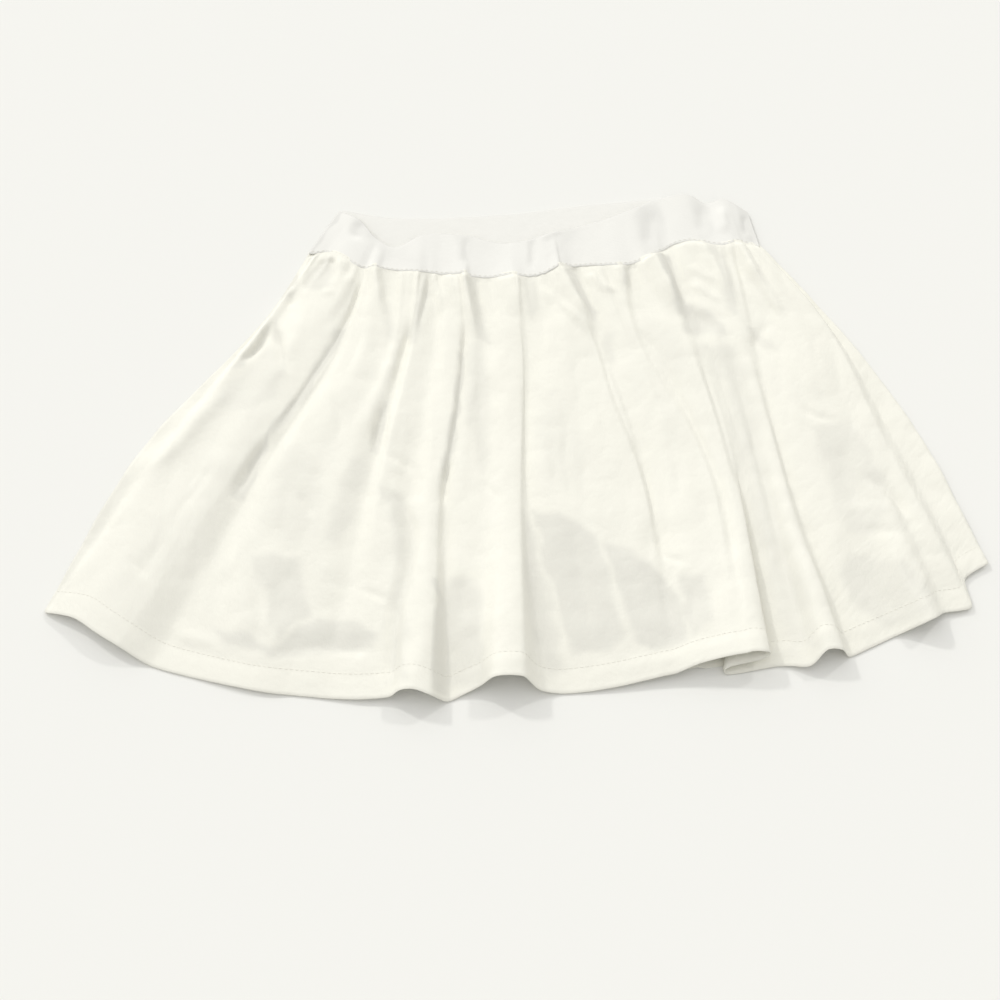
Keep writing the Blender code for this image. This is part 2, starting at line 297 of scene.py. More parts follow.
# The front's fold lines, from its left edge to its right: how soft the fold is; x and y at the seam;
# x at the release, the middle and the hem; y at the hem; then the height at each of the stations.
FRONT_FOLDS = [FoldLine(*row) for row in (
    ("left_edge",        1.0, -145, 529, -169, -244, -285, 236,  0.0, 0.0, 0.0,  0.0),
    ("left_underlay",    0.7, -141, 529, -168, -232, -284, 235,  0.0, 0.0, 0.0,  0.5),
    ("left_flap_edge",   0.8, -137, 530, -165, -222, -281, 234,  1.5, 3.0, 3.0,  2.0),
    ("side_trough",      1.0, -130, 530, -158, -199, -263, 229,  1.5, 1.5, 4.0,  6.5),
    ("side_crest",       1.0, -121, 525, -142, -186, -247, 219,  4.0, 5.5, 6.0,  8.0),
    ("pleat_1_edge",     0.6, -107, 515, -115, -176, -233, 211,  3.5, 4.6, 5.6,  7.0),
    ("pleat_1_valley",   0.7, -102, 514, -111, -164, -212, 200,  2.0, 3.0, 2.0,  0.0),
    ("pleat_1_flank",    1.0,  -97, 513, -105, -153, -150, 185,  3.0, 4.5, 5.0,  1.4),
    ("left_panel",       1.0,  -93, 513,  -97, -137, -137, 183,  3.5, 6.0, 5.0,  1.0),
    ("gather_1",         1.0,  -88, 513,  -80, -122, -125, 182,  2.0, 4.0, 5.0,  0.0),
    ("pleat_2_flank",    1.0,  -74, 509,  -74, -108, -114, 181,  4.0, 5.5, 5.2,  0.0),
    ("pleat_2_valley",   0.7,  -60, 508,  -66,  -89, -104, 180,  2.0, 3.0, 2.5,  0.2),
    ("pleat_2_crest",    0.8,  -55, 508,  -62,  -80,  -84, 179,  3.0, 5.0, 5.8,  1.6),
    ("trough_edge",      0.7,  -51, 507,  -57,  -70,  -66, 180,  3.0, 4.5, 5.5,  3.5),
    ("trough",           1.0,  -47, 507,  -46,  -59,  -59, 182,  2.0, 3.5, 3.5, 10.5),
    ("pleat_3_crest",    1.0,  -41, 506,  -38,  -47,  -51, 182,  4.0, 5.5, 6.0, 12.5),
    ("pleat_3_edge",     0.6,  -35, 505,  -29,  -39,  -41, 179,  4.0, 5.0, 6.3, 10.5),
    ("pleat_3_valley",   0.7,  -30, 505,  -25,  -35,  -31, 178,  2.5, 3.0, 3.3,  0.0),
    ("pleat_3_flank",    1.0,  -26, 505,  -19,  -26,  -22, 182,  3.5, 4.0, 4.5,  1.0),
    ("gather_2",         1.0,  -22, 504,   -9,  -10,  -12, 186,  1.5, 3.0, 4.0,  5.0),
    ("middle_crest",     1.0,   -6, 503,    4,    3,   -2, 189,  4.0, 5.5, 6.5, 15.5),
    ("pleat_4_edge",     0.6,    8, 504,   15,   13,   14, 189,  4.0, 5.0, 6.3, 15.0),
    ("pleat_4_flank",    1.0,   12, 504,   17,   16,   24, 184,  3.0, 3.8, 4.4,  4.0),
    ("pleat_4_valley",   0.7,   16, 504,   20,   19,   37, 183,  2.0, 3.0, 3.2,  0.0),
    ("middle_panel",     1.0,   26, 504,   33,   34,   52, 184,  4.0, 5.0, 5.0,  0.3),
    ("hollow_panel",     1.0,   38, 507,   50,   59,   72, 187,  4.0, 5.5, 5.5,  1.6),
    ("pleat_5_edge",     0.7,   45, 511,   66,   95,  100, 193,  4.0, 4.8, 6.0,  4.0),
    ("pleat_5_valley",   0.7,   50, 513,   70,   99,  106, 194,  2.0, 3.0, 3.6,  4.6),
    ("right_panel",      1.0,   67, 514,   85,  116,  120, 199,  4.5, 5.5, 5.5,  7.5),
    ("pleat_6_edge",     0.7,   91, 514,   97,  140,  140, 203,  3.5, 4.8, 5.8, 11.5),
    ("pleat_6_valley",   0.8,   96, 515,  101,  145,  148, 204,  2.0, 3.6, 4.6, 12.5),
    ("pleat_7_crest",    1.0,  108, 520,  118,  150,  152, 205,  4.0, 6.0, 6.0, 12.8),
    ("pleat_7_over",     1.0,  114, 524,  126,  153,  159, 205,  4.2, 6.2, 6.0, 12.3),
    ("pleat_7_edge",     1.0,  118, 527,  130,  155,  163, 205,  4.0, 6.2, 5.8,  9.4),
    ("pleat_7_under",    1.0,  121, 529,  133,  157,  160, 203,  3.2, 5.0, 4.5,  6.5),
    ("pleat_7_turn",     1.0,  124, 531,  136,  159,  136, 197,  2.2, 3.6, 2.8,  3.8),
    ("pleat_7_return",   1.0,  127, 533,  139,  162,  137, 195,  2.0, 3.0, 1.8,  0.5),
    ("pleat_7_underlay", 0.8,  132, 536,  144,  166,  169, 200,  2.5, 2.8, 2.2,  0.0),
    ("pleat_8_flank",    1.0,  142, 539,  151,  170,  177, 200,  4.5, 4.0, 4.0,  0.8),
    ("gather_3",         1.0,  156, 537,  162,  176,  188, 199,  2.0, 3.5, 3.2,  4.0),
    ("pleat_8_crest",    1.0,  167, 534,  172,  183,  198, 207,  4.0, 5.0, 5.5, 11.5),
    ("pleat_8_edge",     0.7,  174, 535,  178,  188,  207, 207,  3.5, 4.3, 5.5, 10.0),
    ("pleat_8_valley",   0.7,  178, 537,  182,  192,  214, 206,  2.0, 3.0, 2.8,  0.0),
    ("side_panel",       1.0,  183, 538,  196,  206,  228, 212,  3.5, 4.5, 4.5,  0.0),
    ("side_hollow",      1.0,  187, 538,  210,  226,  246, 220,  3.0, 5.5, 4.5,  0.6),
    ("right_crest",      1.0,  190, 537,  220,  246,  266, 227,  2.5, 4.5, 5.0, 11.0),
    ("right_crest_fall", 0.8,  191, 537,  224,  253,  277, 234,  2.0, 4.2, 4.6,  2.4),
    ("right_flap_edge",  0.7,  193, 537,  228,  261,  295, 238,  1.5, 3.5, 4.5,  1.4),
    ("right_underlay",   0.7,  195, 536,  230,  268,  295, 257,  0.0, 0.0, 0.0,  1.0),
    ("right_edge",       1.0,  198, 536,  232,  284,  312, 268,  0.0, 0.0, 0.0,  2.0),
)]

# The front's soft creases: height, reach to the west and east, the line, and the fades at its ends
# where they aren't the usual ones.
FRONT_CREASES = [Crease(*row) for row in (
    # The left side: the wedge under the flap, the flap's edge and the first pleat's facets.
    (-3.5,  2.6,  3.5, ((-167, 464), (-173, 440), (-188, 420))),
    (1.9,   9.0,  6.0, ((-182, 412), (-205, 379), (-222, 352), (-236, 339), (-253, 330))),
    (-3.0,  5.0,  3.0, ((-165, 460), (-159, 442), (-152, 412))),
    (-3.0,  4.0,  3.6, ((-156, 364), (-168, 335), (-178, 310))),
    (-1.2,  6.0,  8.0, ((-128, 275), (-137, 245), (-132, 222))),
    (0.8,   4.0,  4.0, ((-205, 222), (-190, 218), (-173, 213))),
    # The second pleat, its deep place and the bright ridge beside the curved trough.
    (-2.6,  3.0,  2.4, ((-79, 392), (-84, 366), (-84, 345))),
    (0.6,   3.5,  3.0, ((-46, 430), (-47, 335), (-45, 260), (-47, 190)), (0.1, 0.1)),
    # The third pleat and the strip beside it.
    (-2.0,  2.4,  2.4, ((-32, 345), (-37, 326), (-38, 305))),
    (-1.2,  4.0,  4.0, ((-26, 262), (-23, 245), (-20, 225))),
    (-1.2,  5.0,  5.0, ((-13, 445), (-14, 390), (-10, 330))),
    # The swirl at the foot of the fifth pleat.
    (0.3,   3.0,  3.0, ((107, 277), (123, 271), (113, 258), (109, 250), (115, 238)), (0.2, 0.2)),
    (-0.8,  4.0,  4.0, ((124, 256), (119, 238), (121, 220))),
    # The wedge and the bump at the waist above the seventh pleat.
    (0.6,  12.0, 10.0, ((125, 441), (148, 438), (170, 440))),
    # The right side.
    (-1.2,  4.0,  4.0, ((198, 462), (187, 446), (177, 430))),
    (-1.5,  8.0,  8.0, ((228, 362), (233, 325), (238, 290))),
    (0.5,   4.0,  4.0, ((218, 305), (240, 306), (262, 303))),
    (-0.8,  4.0,  4.0, ((230, 291), (248, 289), (265, 286))),
)]

# The front's sharp creases and flat-sided ridges, given in the same way.
FRONT_FACETS = [Crease(*row, profile=Profile.CRISP) for row in (
    # The first pleat: its thin line, the crest at its foot, the hollow above the hem and small nicks.
    (-1.5,  1.8,  3.0, ((-101, 508), (-108, 475), (-118, 443), (-135, 405), (-152, 370), (-158, 360)),
     (0.2, 0.2)),
    (1.6,   8.0,  5.0, ((-170, 302), (-166, 260), (-153, 230), (-143, 213))),
    (-1.2,  3.5,  8.0, ((-143, 207), (-110, 211), (-73, 208)), (0.2, 0.2)),
    (-0.9,  1.8,  3.0, ((-134, 318), (-121, 298))),
    (-0.8,  1.8,  3.0, ((-238, 270), (-220, 255))),
    (-0.9,  1.8,  3.0, ((-90, 250), (-66, 239))),
    (-0.8,  5.0,  5.0, ((-205, 320), (-214, 285), (-232, 250))),
    (0.7,   5.0,  3.0, ((-140, 470), (-150, 430), (-168, 390))),
    # The second pleat's thin line, the ridge beside it and the curved trough.
    (-1.6,  2.2,  2.2, ((-64, 462), (-69, 435), (-77, 390))),
    (1.2,   2.0,  5.0, ((-75, 400), (-75, 372), (-77, 350))),
    (-1.3,  2.4,  5.0, ((-80, 348), (-55, 333))),
    (-3.0,  6.0,  3.2, ((-83, 322), (-65, 310), (-56, 290), (-58, 260), (-62, 240), (-63, 185)),
     (0.25, 0.1)),
    (-0.8,  5.0,  4.0, ((-95, 470), (-104, 430), (-112, 395))),
    # The third pleat's thin line and the nick beside it.
    (-1.4,  1.8,  2.2, ((-24, 465), (-27, 430), (-30, 385), (-37, 326), (-39, 255)), (0.15, 0.2)),
    (-0.9,  1.8,  3.0, ((-14, 328), (3, 308))),
    (0.9,   6.0,  4.0, ((-34, 352), (-22, 335), (-12, 318))),
    # The fourth pleat's thin line, the faint line beyond it and the ridge between the two hollows.
    (-1.0,  1.8,  4.0, ((17, 420), (17, 380), (17, 335), (18, 300)), (0.3, 0.3)),
    (-0.8,  2.0,  3.0, ((46, 385), (44, 345), (48, 305))),
    (1.3,   5.0,  5.0, ((63, 288), (70, 245), (83, 205))),
    (-1.2,  9.0,  4.0, ((46, 300), (50, 260), (56, 215))),
    (-1.2,  9.0,  4.0, ((94, 275), (104, 240), (116, 212))),
    # The fifth pleat's thin line and the nick at its foot.
    (-1.4,  1.8,  2.4, ((60, 470), (70, 440), (78, 398), (87, 365), (98, 320), (101, 284)), (0.2, 0.1)),
    (-0.9,  2.2,  2.2, ((101, 284), (105, 272), (120, 266)), (0.1, 0.3)),
    # The sixth pleat's thin line, the seventh pleat's flank and the hollow at its head.
    (-1.3,  2.0,  2.4, ((98, 455), (110, 437), (121, 404), (133, 370), (144, 320), (148, 240)), (0.1, 0.2)),
    (-1.4,  1.8,  2.2, ((140, 432), (146, 400), (153, 352), (158, 315)), (0.2, 0.2)),
    (-1.8,  9.0,  5.0, ((136, 474), (148, 461), (158, 448)), (0.4, 0.3)),
    (-1.3,  6.0,  3.0, ((166, 430), (172, 360), (178, 300), (188, 215)), (0.1, 0.1)),
    # The eighth pleat's thin line and the curved line above it.
    (-1.5,  1.8,  4.0, ((180, 440), (182, 415), (189, 350), (195, 290), (204, 240)), (0.15, 0.2)),
    (-0.6,  2.2,  6.0, ((191, 480), (200, 453), (212, 443))),
    # The right side's facets.
    (-1.3,  1.8,  3.5, ((207, 389), (213, 379), (231, 372))),
    (-2.0,  3.0,  5.0, ((240, 334), (253, 320), (268, 297))),
    (-1.6,  2.6,  6.0, ((255, 280), (258, 258), (271, 230))),
    (-0.9,  7.0,  4.0, ((222, 300), (230, 262), (246, 232))),
    (0.8,   6.0,  4.0, ((205, 440), (213, 410), (222, 385))),
    # The crumples under the left end of the waistband.
    (-2.2,  9.0,  3.0, ((-126, 520), (-125, 505), (-126, 488)), (0.1, 0.5)),
    (1.2,   4.0,  3.0, ((-146, 508), (-147, 492), (-141, 478))),
    (-1.5,  2.0,  2.6, ((-154, 507), (-154, 490))),
    (-1.6,  3.0,  3.0, ((-158, 488), (-152, 474))),
    (1.2,   4.0,  3.0, ((-132, 486), (-120, 483))),
    # Short nicks and slack between the pleats.
    (-0.7,  2.0,  4.0, ((-118, 395), (-110, 372), (-112, 350))),
    (-0.6,  2.0,  4.0, ((30, 360), (36, 338), (34, 318))),
    (-0.6,  2.0,  4.0, ((62, 398), (70, 372), (72, 350))),
    (-0.7,  2.0,  4.0, ((112, 360), (118, 332), (116, 308))),
    (0.7,   5.0,  3.0, ((100, 420), (108, 388), (118, 352))),
    (-0.6,  2.0,  4.0, ((-190, 345), (-198, 325), (-212, 300))),
)]

# Painted shade on the front, darkening its colour in deep folds and where it stands off the layers below so
# that
# less light comes back through it: how much, how soft the area's edge is, and its outline.
FRONT_PAINTED_SHADES = [PaintedShade(*row) for row in (
    (1.0, 3.0, ((22, 303), (40, 302), (50, 295), (60, 287), (66, 268), (68, 245), (76, 220), (68, 209),
                (46, 208), (38, 228), (30, 262))),
    (1.0, 3.0, ((66, 281), (85, 273), (98, 262), (108, 246), (115, 232), (112, 215), (95, 210), (84, 214),
                (76, 240), (70, 262))),
    (0.7, 5.0, ((15, 300), (24, 290), (33, 240), (40, 196), (26, 192), (18, 240))),
    (0.7, 3.0, ((-159, 272), (-128, 271), (-122, 245), (-118, 232), (-138, 218), (-146, 240))),
    (0.9, 3.0, ((-177, 224), (-156, 221), (-142, 212), (-112, 230), (-90, 228), (-76, 220), (-78, 209),
                (-110, 207), (-140, 206), (-168, 214))),
    (0.9, 4.0, ((-38, 186), (-38, 240), (-32, 258), (-18, 257), (-12, 240), (-9, 215), (-6, 186))),
    (0.5, 4.0, ((-86, 352), (-92, 352), (-104, 330), (-112, 300), (-114, 280), (-103, 280), (-92, 305),
                (-86, 330))),
    (0.15, 5.0, ((-174, 322), (-190, 305), (-205, 275), (-231, 222), (-212, 209), (-194, 245), (-183, 272),
                (-168, 302))),
    (0.6, 4.0, ((214, 370), (242, 372), (250, 350), (254, 330), (250, 300), (238, 284), (224, 290),
                (220, 320))),
    (0.7, 4.0, ((226, 275), (258, 268), (270, 240), (264, 229), (240, 226), (224, 236), (216, 262))),
    (0.6, 4.0, ((-166, 440), (-154, 432), (-151, 410), (-158, 388), (-182, 380), (-200, 384), (-188, 408))),
    (0.6, 5.0, ((157, 426), (172, 426), (177, 380), (180, 330), (187, 260), (193, 212), (178, 210),
                (170, 270), (162, 340))),
    (0.8, 3.0, ((115, 256), (128, 255), (129, 225), (118, 216), (113, 235))),
    (0.9, 3.0, ((131, 478), (150, 468), (163, 458), (162, 447), (134, 447))),
    (0.7, 4.0, ((-80, 320), (-66, 314), (-56, 300), (-54, 270), (-56, 235), (-56, 188), (-68, 188),
                (-66, 235), (-66, 270), (-70, 298))),
    (0.9, 3.5, ((-147, 490), (-143, 508), (-129, 524), (-124, 512), (-126, 488))),
    (0.5, 4.0, ((146, 440), (168, 436), (172, 415), (160, 402), (150, 415))),
    (0.5, 4.0, ((-24, 440), (-13, 440), (-8, 395), (-5, 340), (-14, 330), (-22, 370))),
    (0.35, 8.0, ((-150, 350), (-128, 350), (-118, 320), (-118, 285), (-135, 280), (-152, 300))),
    (0.35, 8.0, ((-242, 300), (-222, 310), (-205, 285), (-214, 255), (-232, 262))),
    (0.3, 8.0, ((28, 400), (44, 390), (58, 350), (52, 318), (34, 325), (26, 360))),
    (0.3, 8.0, ((104, 470), (118, 455), (132, 425), (124, 410), (108, 430))),
    (0.6, 3.0, ((-255, 334), (-244, 332), (-262, 275), (-276, 240), (-292, 232), (-280, 265), (-268, 300))),
    (0.9, 2.0, ((45, 514), (56, 514), (60, 492), (72, 466), (67, 460), (52, 488))),
    (1.0, 2.0, ((114, 522), (128, 520), (137, 472), (131, 462), (122, 496))),
    (0.8, 2.5, ((-26, 504), (-17, 502), (-14, 465), (-7, 440), (-17, 442), (-22, 475))),
    (0.7, 2.5, ((-59, 508), (-50, 505), (-56, 470), (-62, 438), (-67, 438), (-61, 470))),
    (0.6, 3.0, ((13, 502), (26, 500), (30, 470), (24, 462), (18, 480))),
    (0.5, 3.0, ((-93, 514), (-84, 512), (-81, 470), (-76, 440), (-84, 440), (-88, 480))),
    (0.8, 2.0, ((89, 515), (97, 513), (97, 492), (91, 492))),
    (0.7, 2.5, ((155, 537), (165, 530), (173, 490), (174, 462), (166, 468), (162, 505))),
    (0.6, 2.5, ((179, 456), (188, 450), (198, 432), (188, 434))),
    (0.6, 2.0, ((-160, 508), (-151, 508), (-152, 490), (-158, 478), (-164, 486))),
    (0.6, 3.0, ((76, 452), (84, 446), (80, 425), (72, 425))),
    (0.26, 9.0, ((-262, 330), (-236, 345), (-178, 412), (-150, 400), (-168, 340), (-196, 280), (-232, 214),
                 (-290, 234))),
    (1.0, 1.5, ((-156, 366), (-165, 350), (-178, 316), (-170, 312), (-160, 345))),
    (0.8, 1.5, ((-111, 454), (-118, 452), (-137, 408), (-159, 362), (-153, 362), (-130, 405))),
    (1.0, 1.5, ((-77, 396), (-88, 370), (-89, 350), (-80, 348), (-78, 372))),
    (0.8, 1.2, ((-23, 432), (-29, 432), (-32, 385), (-40, 326), (-35, 326), (-27, 380))),
    (1.0, 1.5, ((-41, 255), (-38, 255), (-30, 183), (-39, 183))),
    (0.9, 2.0, ((-168, 462), (-175, 438), (-190, 418), (-183, 420), (-170, 440))),
    (0.7, 2.0, ((-165, 464), (-156, 440), (-150, 412), (-156, 412), (-163, 438))),
)]

# Painted shade on the waistband's front, given in the same way: its folded left end and the shallow folds
# across it.
BAND_PAINTED_SHADES = [PaintedShade(*row) for row in (
    (0.9, 1.5, ((-150, 528), (-141, 528), (-121, 571), (-127, 575))),
    (0.6, 3.0, ((-117, 545), (-114, 561), (-103, 560), (-96, 548), (-95, 536), (-108, 537))),
    (0.5, 4.0, ((104, 540), (106, 572), (120, 578), (127, 560), (123, 530), (110, 522))),
    (0.4, 3.0, ((148, 578), (163, 574), (164, 545), (158, 536), (150, 540))),
    (0.6, 2.5, ((185, 575), (196, 570), (199, 535), (189, 536))),
    (0.4, 2.5, ((-33, 542), (-21, 542), (-22, 512), (-31, 515))),
    (0.4, 2.0, ((21, 538), (29, 541), (28, 510), (22, 510))),
    (0.35, 3.0, ((30, 528), (50, 551), (58, 548), (46, 520), (36, 514))),
    (0.3, 5.0, ((-95, 530), (-70, 528), (-66, 514), (-92, 516))),
)]

# The gathers below the waist seam: each leans to the right, its long face towards the left.
MAIN_GATHERS = [Crease(*row, taper=0.6, profile=Profile.CRISP) for row in (
    (2.6,  6.0, 4.5, ((-94, 516), (-90, 488), (-84, 455)), (0.05, 0.6)),
    (4.6, 11.0, 5.0, ((-61, 512), (-61, 482), (-66, 440)), (0.05, 0.5)),
    (2.6,  4.0, 3.5, ((-50, 511), (-46, 487), (-42, 460)), (0.05, 0.5)),
    (4.8, 10.0, 6.5, ((-27, 509), (-24, 482), (-15, 440)), (0.05, 0.5)),
    (4.2, 13.0, 8.0, ((10, 508), (16, 482), (25, 455)), (0.05, 0.6)),
    (6.0, 13.0, 7.0, ((43, 515), (53, 490), (71, 442)), (0.05, 0.5)),
    (3.2,  9.0, 4.0, ((90, 517), (93, 502), (96, 482)), (0.05, 0.6)),
    (6.5, 11.0, 7.0, ((114, 524), (121, 502), (134, 460)), (0.05, 0.55)),
    (4.2, 10.0, 6.0, ((153, 541), (161, 512), (171, 470)), (0.05, 0.5)),
    (4.2,  8.0, 5.0, ((177, 539), (187, 512), (193, 488)), (0.05, 0.6)),
    (2.2,  8.0, 4.0, ((-112, 506), (-118, 480), (-130, 450)), (0.2, 0.5)),
    (1.2,  3.0, 6.0, ((141, 512), (151, 503), (160, 494)), (0.3, 0.3)),
    (1.2,  3.0, 6.0, ((140, 497), (152, 486), (164, 476)), (0.3, 0.3)),
    (2.2,  4.0, 5.0, ((185, 515), (196, 488), (208, 458)), (0.2, 0.3)),
    (1.0,  5.0, 4.0, ((28, 492), (44, 474), (66, 449)), (0.2, 0.3)),
    (1.8,  5.0, 4.0, ((66, 505), (76, 492), (88, 484)), (0.2, 0.3)),
)]

# The waistband's upper edge: share of the way round the half loop, x, y and height.
FRONT_BAND_TOP = (
    (0.00, -125, 569, 0.0),
    (0.06, -109, 558, 2.5),
    (0.13,  -95, 539, 3.0),
    (0.19,  -80, 530, 2.5),
    (0.26,  -58, 541, 4.0),
    (0.34,  -30, 541, 3.5),
    (0.44,    5, 533, 3.0),
    (0.54,   38, 541, 4.5),
    (0.64,   75, 555, 3.0),
    (0.73,  105, 569, 3.5),
    (0.80,  125, 580, 1.5),
    (0.87,  148, 581, 5.0),
    (0.91,  161, 575, 2.0),
    (0.95,  174, 578, 4.0),
    (1.00,  193, 568, 0.0),
)
BACK_BAND_TOP = (
    (0.00, -123, 571, 0.0),
    (0.15,  -85, 563, 0.0),
    (0.40,    0, 566, 0.0),
    (0.65,   75, 577, 0.0),
    (0.85,  140, 582, 0.0),
    (1.00,  192, 571, 0.0),
)
# The folds across the front waistband, given as the front's creases are.
BAND_CREASES = [Crease(*row) for row in (
    (-1.2, 3.0, 3.0, ((-26, 542), (-26, 505))),
    (-1.2, 2.6, 2.6, ((25, 540), (24, 505))),
    (1.2,  3.5, 3.5, ((48, 548), (29, 535))),
    (-1.5, 6.0, 6.0, ((118, 570), (112, 525))),
    (-1.2, 4.0, 4.0, ((156, 572), (154, 540))),
    (1.5,  4.0, 4.0, ((172, 572), (171, 540))),
    (-1.2, 3.5, 3.5, ((190, 565), (188, 540))),
    (-1.5, 5.0, 5.0, ((-108, 558), (-110, 535))),
)]

# The back: the front's pleats that it echoes, how high and wide they are there, how they widen from
# the seam to the hem, its two edges on the floor, and how far it is set in from the front's sides.
BACK_PLEATS = ("side_crest", "left_panel", "pleat_2_flank", "pleat_3_crest", "middle_crest",
               "hollow_panel", "right_panel", "pleat_8_crest", "right_crest")
BACK_PLEAT_SHARE = 0.35
BACK_PLEAT_HALF_WIDTH = 5.0
BACK_PLEAT_FLARE = (0.25, 0.7, 1.0, 1.0)
BACK_SEAM = ((-141, 524), (-90, 520), (0, 521), (80, 531), (140, 537), (196, 531))
BACK_HEM = ((-276, 248), (-200, 215), (-110, 194), (0, 197), (80, 199), (150, 201), (200, 213),
            (250, 232), (300, 262))
BACK_LEFT_INSET = (4, 5, 9, 9)
BACK_RIGHT_INSET = (3, 4, 10, 12)


def rise(share: np.ndarray) -> np.ndarray:
    """A smooth step from 0 to 1 as share goes from 0 to 1."""
    held = np.clip(share, 0.0, 1.0)
    return held * held * (3.0 - 2.0 * held)


def slopes(points: np.ndarray, places: np.ndarray) -> np.ndarray:
    """Tangents of a smooth curve, each worked out from both neighbours.

    Args:
        points: Points of the curve along the first axis.
        places: Where each point comes along the curve, broadcast against points.

    Returns:
        The tangent at each point.
    """
    step = places[1:] - places[:-1]
    slope = (points[1:] - points[:-1]) / step
    inner = (slope[:-1] * step[1:] + slope[1:] * step[:-1]) / (step[:-1] + step[1:])
    return np.concatenate([slope[:1], inner, slope[-1:]])


def hermite(start: np.ndarray, end: np.ndarray, start_slope: np.ndarray, end_slope: np.ndarray,
            step: np.ndarray, share: np.ndarray) -> np.ndarray:
    """A point on one smooth interval.

    Args:
        start: The interval's first point.
        end: The interval's last point.
        start_slope: The tangent at the first point.
        end_slope: The tangent at the last point.
        step: The interval's length.
        share: Share of the way along the interval.

    Returns:
        The point at that share.
    """
    u = share
    return ((2 * u**3 - 3 * u**2 + 1) * start + (u**3 - 2 * u**2 + u) * step * start_slope
            + (-2 * u**3 + 3 * u**2) * end + (u**3 - u**2) * step * end_slope)


def smooth(values: np.ndarray | tuple, places: np.ndarray | tuple,
           wanted: np.ndarray | list) -> np.ndarray:
    """Reads a smooth curve.

    Args:
        values: The curve's values, or points, along the first axis.
        places: Where each value comes along the curve.
        wanted: The places to read.

    Returns:
        The curve's values at the wanted places.
    """
    values = np.asarray(values, float)
    places = np.asarray(places, float)
    wanted = np.asarray(wanted, float)
    shape = (-1,) + (1,) * (values.ndim - 1)
    tangents = slopes(values, places.reshape(shape))
    k = np.clip(np.searchsorted(places, wanted) - 1, 0, len(places) - 2)
    step = (places[k + 1] - places[k]).reshape(shape)
    share = (wanted - places[k]).reshape(shape) / step
    return hermite(values[k], values[k + 1], tangents[k], tangents[k + 1], step, share)


def run(points: np.ndarray) -> np.ndarray:
    """Distance along a line of points, from its first point to each."""
    return np.concatenate([[0.0], np.cumsum(np.linalg.norm(np.diff(points, axis=0), axis=1))])


def spread(heights: np.ndarray, passes: int) -> np.ndarray:
    """Averages the heights of a grid with their neighbours.

    Args:
        heights: A height for each point.
        passes: How many times it is done.

    Returns:
        The evened heights.
    """
    for _ in range(passes):
        for axis in range(2):
            edged = np.pad(heights, [(1, 1) if k == axis else (0, 0) for k in range(2)], mode="edge")
            inner = np.arange(heights.shape[axis])
            heights = (0.25 * np.take(edged, inner, axis) + 0.5 * heights
                       + 0.25 * np.take(edged, inner + 2, axis))
    return heights


def evened(heights: np.ndarray, reach: int) -> np.ndarray:
    """Heights along a line, each averaged with its neighbours up to a number of points away."""
    kernel = np.hanning(2 * reach + 1)
    return np.convolve(np.pad(heights, reach, mode="edge"), kernel / kernel.sum(), mode="valid")


def loft(folds: list[FoldLine], rows: np.ndarray, pitch: float) -> np.ndarray:
    """A smooth sheet through fold lines.

    Args:
        folds: The lines, in order across the cloth.
        rows: Shares of the way from seam to hem.
        pitch: The widest that a column of cloth may be at the middle or the hem.

    Returns:
        Points by row, column and axis.
    """
    lines = np.stack([fold.path(rows) for fold in folds], axis=1)
    softness = np.array([fold.soft for fold in folds])[:, None, None]
    points = lines.transpose(1, 0, 2)
    chord = np.linalg.norm(np.diff(points, axis=0), axis=2)
    places = np.concatenate([np.zeros((1, len(rows))), np.cumsum(np.sqrt(chord), axis=0)])[..., None]
    tangents = slopes(points, places) * softness
    columns = [points[:1]]
    for k in range(len(folds) - 1):
        count = max(2, int(np.ceil(np.percentile(chord[k], 80) / pitch)))
        share = (np.arange(1, count + 1) / count)[:, None, None]
        step = places[k + 1] - places[k]
        columns.append(hermite(points[k], points[k + 1], tangents[k], tangents[k + 1], step, share))
    return np.concatenate(columns).transpose(1, 0, 2)


def directions(grid: np.ndarray, axis: int) -> np.ndarray:
    """The sheet's direction along an axis at each point.

    Args:
        grid: Points by row, column and axis.
        axis: 0 for down the rows and 1 for across the columns.

    Returns:
        Directions, halfway between each point's two edges.
    """
    edges = np.diff(grid, axis=axis)
    edges /= np.maximum(np.linalg.norm(edges, axis=2, keepdims=True), TINY)
    first, last = np.take(edges, [0], axis), np.take(edges, [-1], axis)
    return np.concatenate([first, edges], axis) + np.concatenate([edges, last], axis)


def normals(grid: np.ndarray) -> np.ndarray:
    """Unit normals of a grid of points, on the outer side of the cloth."""
    normal = np.cross(directions(grid, 0), directions(grid, 1))
    return normal / np.maximum(np.linalg.norm(normal, axis=2, keepdims=True), TINY)


def cut_places(grid: np.ndarray, middle: int) -> np.ndarray:
    """Where each point lies on the flat cloth, in metres.

    Args:
        grid: Points by row, column and axis, in millimetres.
        middle: The column that the cut is measured from.

    Returns:
        Distance across from the middle column and down from the first row.
    """
    across = np.linalg.norm(np.diff(grid, axis=1), axis=2)
    across = np.concatenate([np.zeros((len(grid), 1)), np.cumsum(across, axis=1)], axis=1)
    across -= across[:, middle:middle + 1]
    down = run(grid[:, middle])[:, None] * np.ones_like(across)
    return np.stack([across, down], axis=2) * MM


def painted_shade(grid: np.ndarray, areas: list[PaintedShade]) -> np.ndarray:
    """How much painted shade each point of a sheet takes, from 0 to 1.

    Args:
        grid: Points by row, column and axis.
        areas: The areas of painted shade.

    Returns:
        A share for each point.
    """
    shares = np.zeros(grid.shape[:2])
    for area in areas:
        shares = np.maximum(shares, area.cover(grid[..., 0], grid[..., 1]))
    return shares


